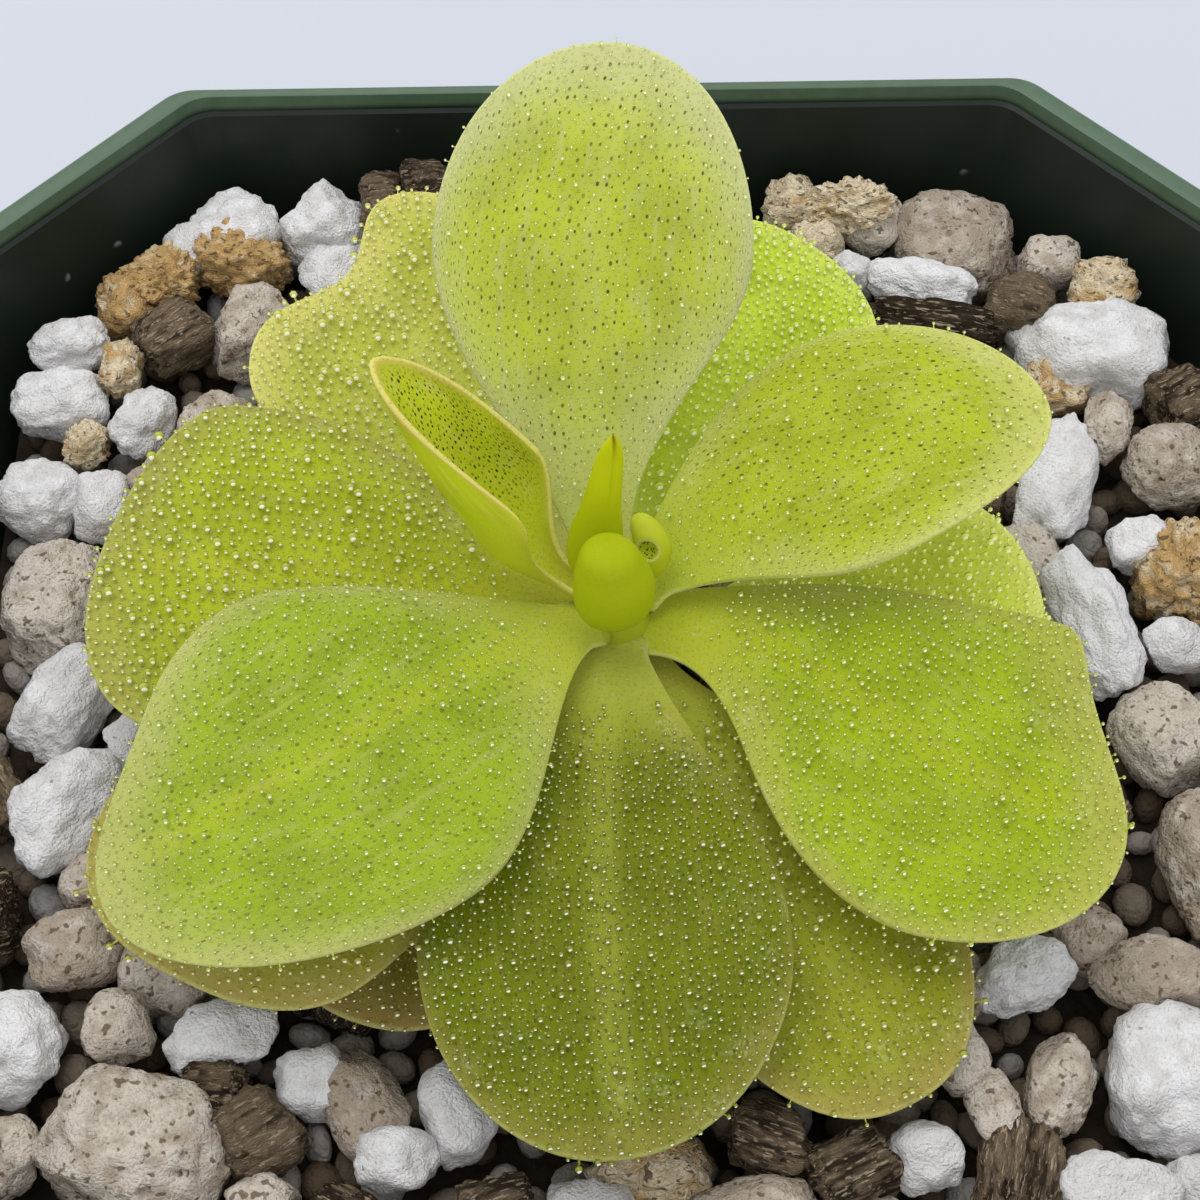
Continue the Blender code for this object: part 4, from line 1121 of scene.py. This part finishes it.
def pushed_inside(stone):
    reach = WALL_ALLOWANCE * max(stone.length, stone.breadth) / 2
    half, corner = inner_wall(BED_LEVEL, WALL_TO_STONE + reach)
    x = min(max(stone.x, -half), half)
    y = min(max(stone.y, -half), half)
    excess = max(abs(x) + abs(y) - (2 * half - corner), 0.0) / 2
    return stone._replace(x=x - math.copysign(excess, x), y=y - math.copysign(excess, y))


print("room under the tip of leaf_back:", round(stone_ceiling(1.7, 28.6, 0.0), 1), "mm")


# %% Fill the rest of the bed
def filler_stones():
    dice = random.Random(FILL_SEED)
    taken = [(stone.x, stone.y, (stone.length + stone.breadth) / 4) for stone in STONES]
    half, _ = inner_wall(BED_LEVEL)
    fillers = []
    for attempt in range(FILL_TRIES):
        share = attempt / FILL_TRIES
        radius = FILL_RADIUS_LARGE + (FILL_RADIUS_SMALL - FILL_RADIUS_LARGE) * share
        x = dice.uniform(-half * MM, half * MM) / MM
        y = dice.uniform(-half * MM, half * MM) / MM
        if not inside_wall(x, y, radius):
            continue
        if math.hypot(x - CROWN_X, y - CROWN_Y) < CROWN_RADIUS + radius:
            continue
        if any(math.hypot(x - a, y - b) < FILL_OVERLAP * (radius + c) for a, b, c in taken):
            continue
        if radius < FILL_RADIUS_HIDDEN and under_leaf(x, y):
            continue
        taken.append((x, y, radius))
        stretch = dice.uniform(*FILL_STRETCH)
        kind = dice.choice(FILL_KINDS)
        turn = dice.uniform(0, 180)
        lift = dice.uniform(*FILL_LIFT)
        fillers.append(Stone(kind, x, y, 2 * radius * stretch, 2 * radius / stretch, turn, lift))
    return fillers


stones = [pushed_inside(stone) for stone in (*STONES, *filler_stones())]
print("stones in the top layer:", len(stones))

# %% Shape each stone
# How square the stones of each kind are, how many flat chips are broken off one, and how lumpy it is
SQUARENESS = {"perlite": 2.3, "pumice": 2.4, "vermiculite": 2.8, "bark": 3.6}
FLATS = {"perlite": 9, "pumice": 12, "vermiculite": 14, "bark": 10}
FLAT_NEAREST, FLAT_FURTHEST = 0.74, 0.97
LUMPINESS = {"perlite": 0.16, "pumice": 0.12, "vermiculite": 0.18, "bark": 0.14}
LUMP_PER_RADIUS = 1.3
FLAT_LEAST_COSINE = 0.3
STONE_SINK = 1.0
STONE_FLATNESS = 0.46
GRAIN_SHIFT = np.array([7.0, 3.0, 0.0])


def relief(kind, spot, place):
    """How far a stone's surface stands out at a spot, as a share of its radius."""
    wide = noise.noise(spot * 3.6 + place)
    close = noise.noise(spot * 9.0 + place)
    if kind == "perlite":
        lobe = 0.5 - noise.voronoi(spot * 2.4 + place)[0][0]
        return 0.15 * lobe + 0.050 * wide + 0.036 * close + 0.014 * noise.noise(spot * 22 + place)
    if kind == "pumice":
        pit = max(noise.noise(spot * 7.0 - place) - 0.25, 0.0)
        return 0.050 * wide + 0.035 * close - 0.32 * pit + 0.014 * noise.noise(spot * 20 + place)
    if kind == "vermiculite":
        crystal = 0.5 - noise.voronoi(spot * 4.2 + place)[0][0]
        return 0.30 * crystal + 0.08 * wide + 0.06 * close
    fibre = noise.noise(Vector((spot.x * 1.8, spot.y * 12, spot.z * 12)) + place)
    return 0.05 * wide + 0.15 * fibre + 0.03 * close


def chipped(stone, directions):
    """How far a stone still reaches in each direction after flat chips have broken off it."""
    dice = random.Random(f"{stone.x:.2f} {stone.y:.2f}")
    reach = np.ones(len(directions))
    for _ in range(FLATS[stone.kind]):
        facing = Vector((dice.gauss(0, 1), dice.gauss(0, 1), dice.gauss(0, 1))).normalized()
        distance = dice.uniform(FLAT_NEAREST, FLAT_FURTHEST)
        cosine = np.maximum(directions @ np.array(facing), FLAT_LEAST_COSINE)
        reach = np.minimum(reach, distance / cosine)
    return reach


print("flat chips off a stone:", FLATS)


# %% Build the stones of one kind
def round_template(level):
    ball = bmesh.new()
    bmesh.ops.create_icosphere(ball, subdivisions=level, radius=1.0)
    spots = [corner.co.normalized() for corner in ball.verts]
    faces = np.array([[corner.index for corner in face.verts] for face in ball.faces])
    ball.free()
    return spots, faces


PLAIN_LEVEL, FINE_LEVEL = 4, 5
TEMPLATES = {level: round_template(level) for level in (PLAIN_LEVEL, FINE_LEVEL)}
SMALL_STONE = 5.4


def detail_level(stone):
    """How often a stone's faces are split: once less where it is small or a leaf lies over it."""
    longest = max(stone.length, stone.breadth)
    return PLAIN_LEVEL if longest < SMALL_STONE or under_leaf(stone.x, stone.y) else FINE_LEVEL


def stone_parts(stone):
    """Points in place, faces and flat-lying points of one stone, in millimetres."""
    reach = max(stone.length, stone.breadth) / 2
    top = min(STONE_TOP_LEVEL + stone.lift, stone_ceiling(stone.x, stone.y, reach))
    tall = min(top - BED_LEVEL + STONE_SINK, STONE_FLATNESS * min(stone.length, stone.breadth))
    spots, faces = TEMPLATES[detail_level(stone)]
    power, lump = SQUARENESS[stone.kind], LUMPINESS[stone.kind]
    place = Vector((stone.x, stone.y, 0))
    size = Vector((stone.length / 2, stone.breadth / 2, tall))
    turn = Matrix.Rotation(math.radians(stone.turn), 3, "Z")
    own = []
    for spot, kept in zip(spots, chipped(stone, np.array(spots))):
        scale = sum(abs(part) ** power for part in spot) ** (-1 / power)
        swollen = spot * scale
        lumpy = lump * noise.noise(swollen * LUMP_PER_RADIUS + place)
        grown = (1 + lumpy) * kept + relief(stone.kind, spot, place)
        own.append([part * grown * full for part, full in zip(swollen, size)])
    own = np.array(own)
    centre = np.array([stone.x, stone.y, top - tall])
    return own @ np.array(turn).T + centre, faces, own + GRAIN_SHIFT * stone.x


def stones_mesh(kind):
    dice = random.Random(kind)
    points, faces, owns, tones, count = [], [], [], [], 0
    for stone in stones:
        if stone.kind != kind:
            continue
        placed, ring, own = stone_parts(stone)
        points.append(placed)
        faces.append(ring + count)
        owns.append(own)
        tones.append(np.full(len(placed), dice.random()))
        count += len(placed)
    points, owns, tones, faces = [np.concatenate(part) for part in (points, owns, tones, faces)]
    return mesh_of(kind, points, faces.tolist(), own=owns, tone=tones)


print("faces of a plain and a fine stone:", [len(faces) for _, faces in TEMPLATES.values()])

# %% [markdown]
# The finishes work in each stone's own coordinates in millimetres. Perlite is chalk white with a sandy
# grain and a few dark specks, pumice is beige to brownish grey with more of them, vermiculite goes from
# cream to golden brown in layers, and bark is dark with pale fibres.

# %% Finishes of the stones
def stone_finish(name, pale, dark, speck, stretch, specks, grain_depth, rough=0.9):
    finish = Finish(name, Roughness=rough, Specular_IOR_Level=0.15)
    own = finish.stored("own", "Vector")
    tone = finish.stored("tone")
    drawn = finish.add("ShaderNodeVectorMath", {"operation": "MULTIPLY"}, own, stretch)
    cloud = finish.speckle(drawn, 0.7, 2.0)
    sand = finish.speckle(drawn, 5.0, 2.0)
    fleck = finish.speckle(drawn, 1.9, 1.0)
    blend = finish.between(cloud + (tone - 0.5) * 0.35, 0.36, 0.66)
    colour = finish.mixed(blend, pale, dark)
    colour = finish.mixed(finish.between(sand, 0.40, 0.75) * 0.45, colour, dark)
    colour = finish.mixed(finish.between(fleck, 0.72 - specks, 0.80 - specks) * 0.8, colour, speck)
    finish.feed("Base Color", colour)
    finish.bump(sand, grain_depth)
    return finish


ALL_WAYS = (1.0, 1.0, 1.0)
STONE_FINISHES = {
    "perlite": stone_finish(
        "perlite_chalk", (0.87, 0.86, 0.87), (0.72, 0.70, 0.69), (0.34, 0.29, 0.24), ALL_WAYS, 0.0, 0.00025
    ),
    "pumice": stone_finish(
        "pumice_stone", (0.70, 0.63, 0.54), (0.46, 0.38, 0.30), (0.13, 0.08, 0.04), ALL_WAYS, 0.10, 0.0003
    ),
    "vermiculite": stone_finish(
        "vermiculite_flake", (0.98, 0.84, 0.60), (0.66, 0.42, 0.17), (0.12, 0.08, 0.04),
        (0.8, 1.0, 2.6), 0.12, 0.0005, 0.6
    ),
    "bark": stone_finish(
        "bark_fibre", (0.34, 0.25, 0.16), (0.050, 0.034, 0.020), (0.66, 0.52, 0.36),
        (0.45, 3.0, 3.0), 0.13, 0.0006
    ),
}
for kind, finish in STONE_FINISHES.items():
    piece = add_piece(kind + "_stones", stones_mesh(kind), finish, ["potting_mix"])
    print(kind, len(piece.data.polygons), "faces")

# %% [markdown]
# ## The lower bed
# Between the stones the eye falls into dark gaps where more grit lies deeper down, in shade. A plain slab
# closes the pot below, painted near black as painted shade for those deep gaps, and a second layer of small
# pebbles lies on it. They only show in glimpses, so Geometry Nodes can scatter one plain pebble of a few
# faces, each with its own size, turn and tone.

# %% The slab and its loose grit
SLAB_TOP = 73.6
SLAB_GAP = 0.4
GRIT_GAP = 1.9
GRIT_RADIUS = 1.45
GRIT_INSET = 1.9
GRIT_LIFT = 0.5
GRIT_SEED = 5
GRIT_TONE_SEED = 3
# The most pebbles that a square metre may hold
MOST_PEBBLES = 3.0e6


def slab_mesh():
    bottom = FLOOR_THICKNESS + SLAB_GAP
    shape = loft([(bottom, *inner_wall(bottom, SLAB_GAP)), (SLAB_TOP, *inner_wall(SLAB_TOP, SLAB_GAP))])
    mesh = bpy.data.meshes.new("slab")
    shape.to_mesh(mesh)
    shape.free()
    return mesh


# Painted shade: the slab's near-black colour stands in for the shadow deep down in the mix
deep_shade = Finish("dark_soil", Roughness=1.0, Specular_IOR_Level=0.05)
spot = deep_shade.object_place()
shade_speckle = deep_shade.speckle(spot, 900.0, 4.0)
deep_shade.feed("Base Color", deep_shade.mixed(shade_speckle, (0.010, 0.008, 0.006), (0.06, 0.045, 0.032)))
deep_shade.bump(shade_speckle, 0.0006)
add_piece("lower_mix", slab_mesh(), deep_shade, ["potting_mix"])

board, given = geometry_tree("grit_on_a_bed", {
    "Gap": "Float", "Pebble Radius": "Float", "Seed": "Int", "Finish": "Material",
})
spread = board.add(
    "GeometryNodeDistributePointsOnFaces", {"distribute_method": "POISSON"}, Mesh=given.out("Geometry"),
    Distance_Min=given.out("Gap"), Density_Max=MOST_PEBBLES, Seed=given.out("Seed"),
)
marked = board.store(spread, "tone", board.chance(0.0, 1.0, Seed=GRIT_TONE_SEED))
pebble = board.add("GeometryNodeMeshIcoSphere", None, given.out("Pebble Radius"), 2)
pebble = board.add("GeometryNodeSetShadeSmooth", None, pebble)
turn = board.chance((0, 0, 0), (6, 6, 6), "FLOAT_VECTOR")
scale = board.chance((0.6, 0.5, 0.5), (1.3, 1.1, 0.9), "FLOAT_VECTOR")
solid = board.set_on_points(marked, pebble, turn, scale)
painted = board.add("GeometryNodeSetMaterial", None, Geometry=solid, Material=given.out("Finish"))
board.add("NodeGroupOutput", None, painted)

grit = Finish("loose_grit", Roughness=0.95, Specular_IOR_Level=0.1)
tone = grit.stored("tone")
spot = grit.object_place()
sand = grit.speckle(spot, 2500.0, 3.0)
ramp = [
    (0.0, (0.10, 0.07, 0.045)), (0.35, (0.22, 0.17, 0.12)), (0.6, (0.38, 0.33, 0.27)),
    (1.0, (0.62, 0.60, 0.58)),
]
colour = grit.add("ShaderNodeValToRGB", {"stops": ramp}, tone)
grit.feed("Base Color", grit.mixed(sand * 0.6, colour, (0.12, 0.09, 0.06)))
grit.bump(sand, 0.0003)

ring = rounded_octagon(*inner_wall(SLAB_TOP, GRIT_INSET))
bed = mesh_of("bed", [(spot.x, spot.y, SLAB_TOP + GRIT_LIFT) for spot in ring], [list(range(len(ring)))])
values = {
    "Gap": GRIT_GAP * MM, "Pebble Radius": GRIT_RADIUS * MM, "Seed": GRIT_SEED, "Finish": grit.material,
}
made = with_nodes("bed", bed, board.tree, values)
add_piece("loose_grit", made, grit, ["potting_mix"])
print("grit:", len(made.polygons), "faces")

# %% [markdown]
# ## Floor, light and camera
# The photograph is taken from above in soft daylight against a pale, slightly blue ground. A wide panel
# of light over the plant gives the soft top light, and the world fills in the shadows. Two bounces of the
# light are enough in a scene as open as this, and keep it quick. The camera stands close, 58 degrees above
# the horizon, so its lens and distance are set from the plant's real size.

# %% Floor and lights
# The floor's reach is in millimetres, and the panel's place, aim and side are in metres
FLOOR_REACH = 900
WORLD_STRENGTH = 0.90
PANEL_PLACE = Vector((-0.12, 0.20, 0.70))
PANEL_SIDE, PANEL_POWER = 0.45, 1.6
PANEL_AIM = Vector((0.0, 0.0, 0.085))
LIGHT_BOUNCES = 2

corners = [(x * FLOOR_REACH, y * FLOOR_REACH, 0) for x, y in ((-1, -1), (1, -1), (1, 1), (-1, 1))]
paper = Finish("pale_paper", Base_Color=(0.62, 0.64, 0.71, 1.0), Roughness=0.9)
floor = bpy.data.objects.new("floor", mesh_of("floor", corners, [[0, 1, 2, 3]]))
floor.data.materials.append(paper.material)
bpy.context.scene.collection.objects.link(floor)

world = bpy.data.worlds.new("soft_room")
bpy.context.scene.world = world
world.use_nodes = True
room = world.node_tree.nodes["Background"].inputs
room["Color"].default_value = (0.97, 0.98, 1.0, 1.0)
room["Strength"].default_value = WORLD_STRENGTH

panel = bpy.data.lights.new("top_panel", "AREA")
panel.shape = "SQUARE"
panel.size = PANEL_SIDE
panel.energy = PANEL_POWER
holder = bpy.data.objects.new("top_panel", panel)
holder.location = PANEL_PLACE
holder.rotation_euler = (PANEL_AIM - PANEL_PLACE).to_track_quat("-Z", "Y").to_euler()
bpy.context.scene.collection.objects.link(holder)
bpy.context.scene.cycles.diffuse_bounces = LIGHT_BOUNCES
bpy.context.scene.cycles.glossy_bounces = LIGHT_BOUNCES
print("light panel at", [round(part, 2) for part in PANEL_PLACE], "m")

# %% Camera at the photograph's angle
LENS = 69.0
CAMERA_ELEVATION = math.radians(58)
CAMERA_DISTANCE = 139 * MM
CAMERA_ROLL = math.radians(0.85)
SENSOR_WIDTH = 36
NEAREST_SEEN = 0.005
LOOK_AT = Vector((-0.65, 1.4, 85.0)) * MM
camera_data = bpy.data.cameras.new("camera")
camera_data.lens = LENS
camera_data.sensor_width = SENSOR_WIDTH
camera_data.clip_start = NEAREST_SEEN
camera = bpy.data.objects.new("camera", camera_data)
away = Vector((0, -math.cos(CAMERA_ELEVATION), math.sin(CAMERA_ELEVATION)))
camera.location = LOOK_AT + away * CAMERA_DISTANCE
level = Matrix.Rotation(math.pi / 2 - CAMERA_ELEVATION, 3, "X")
camera.rotation_euler = (level @ Matrix.Rotation(-CAMERA_ROLL, 3, "Z")).to_euler()
bpy.context.scene.collection.objects.link(camera)
bpy.context.scene.camera = camera
bpy.context.scene.view_settings.view_transform = "Standard"
print("camera at", [round(1000 * part) for part in camera.location], "mm")
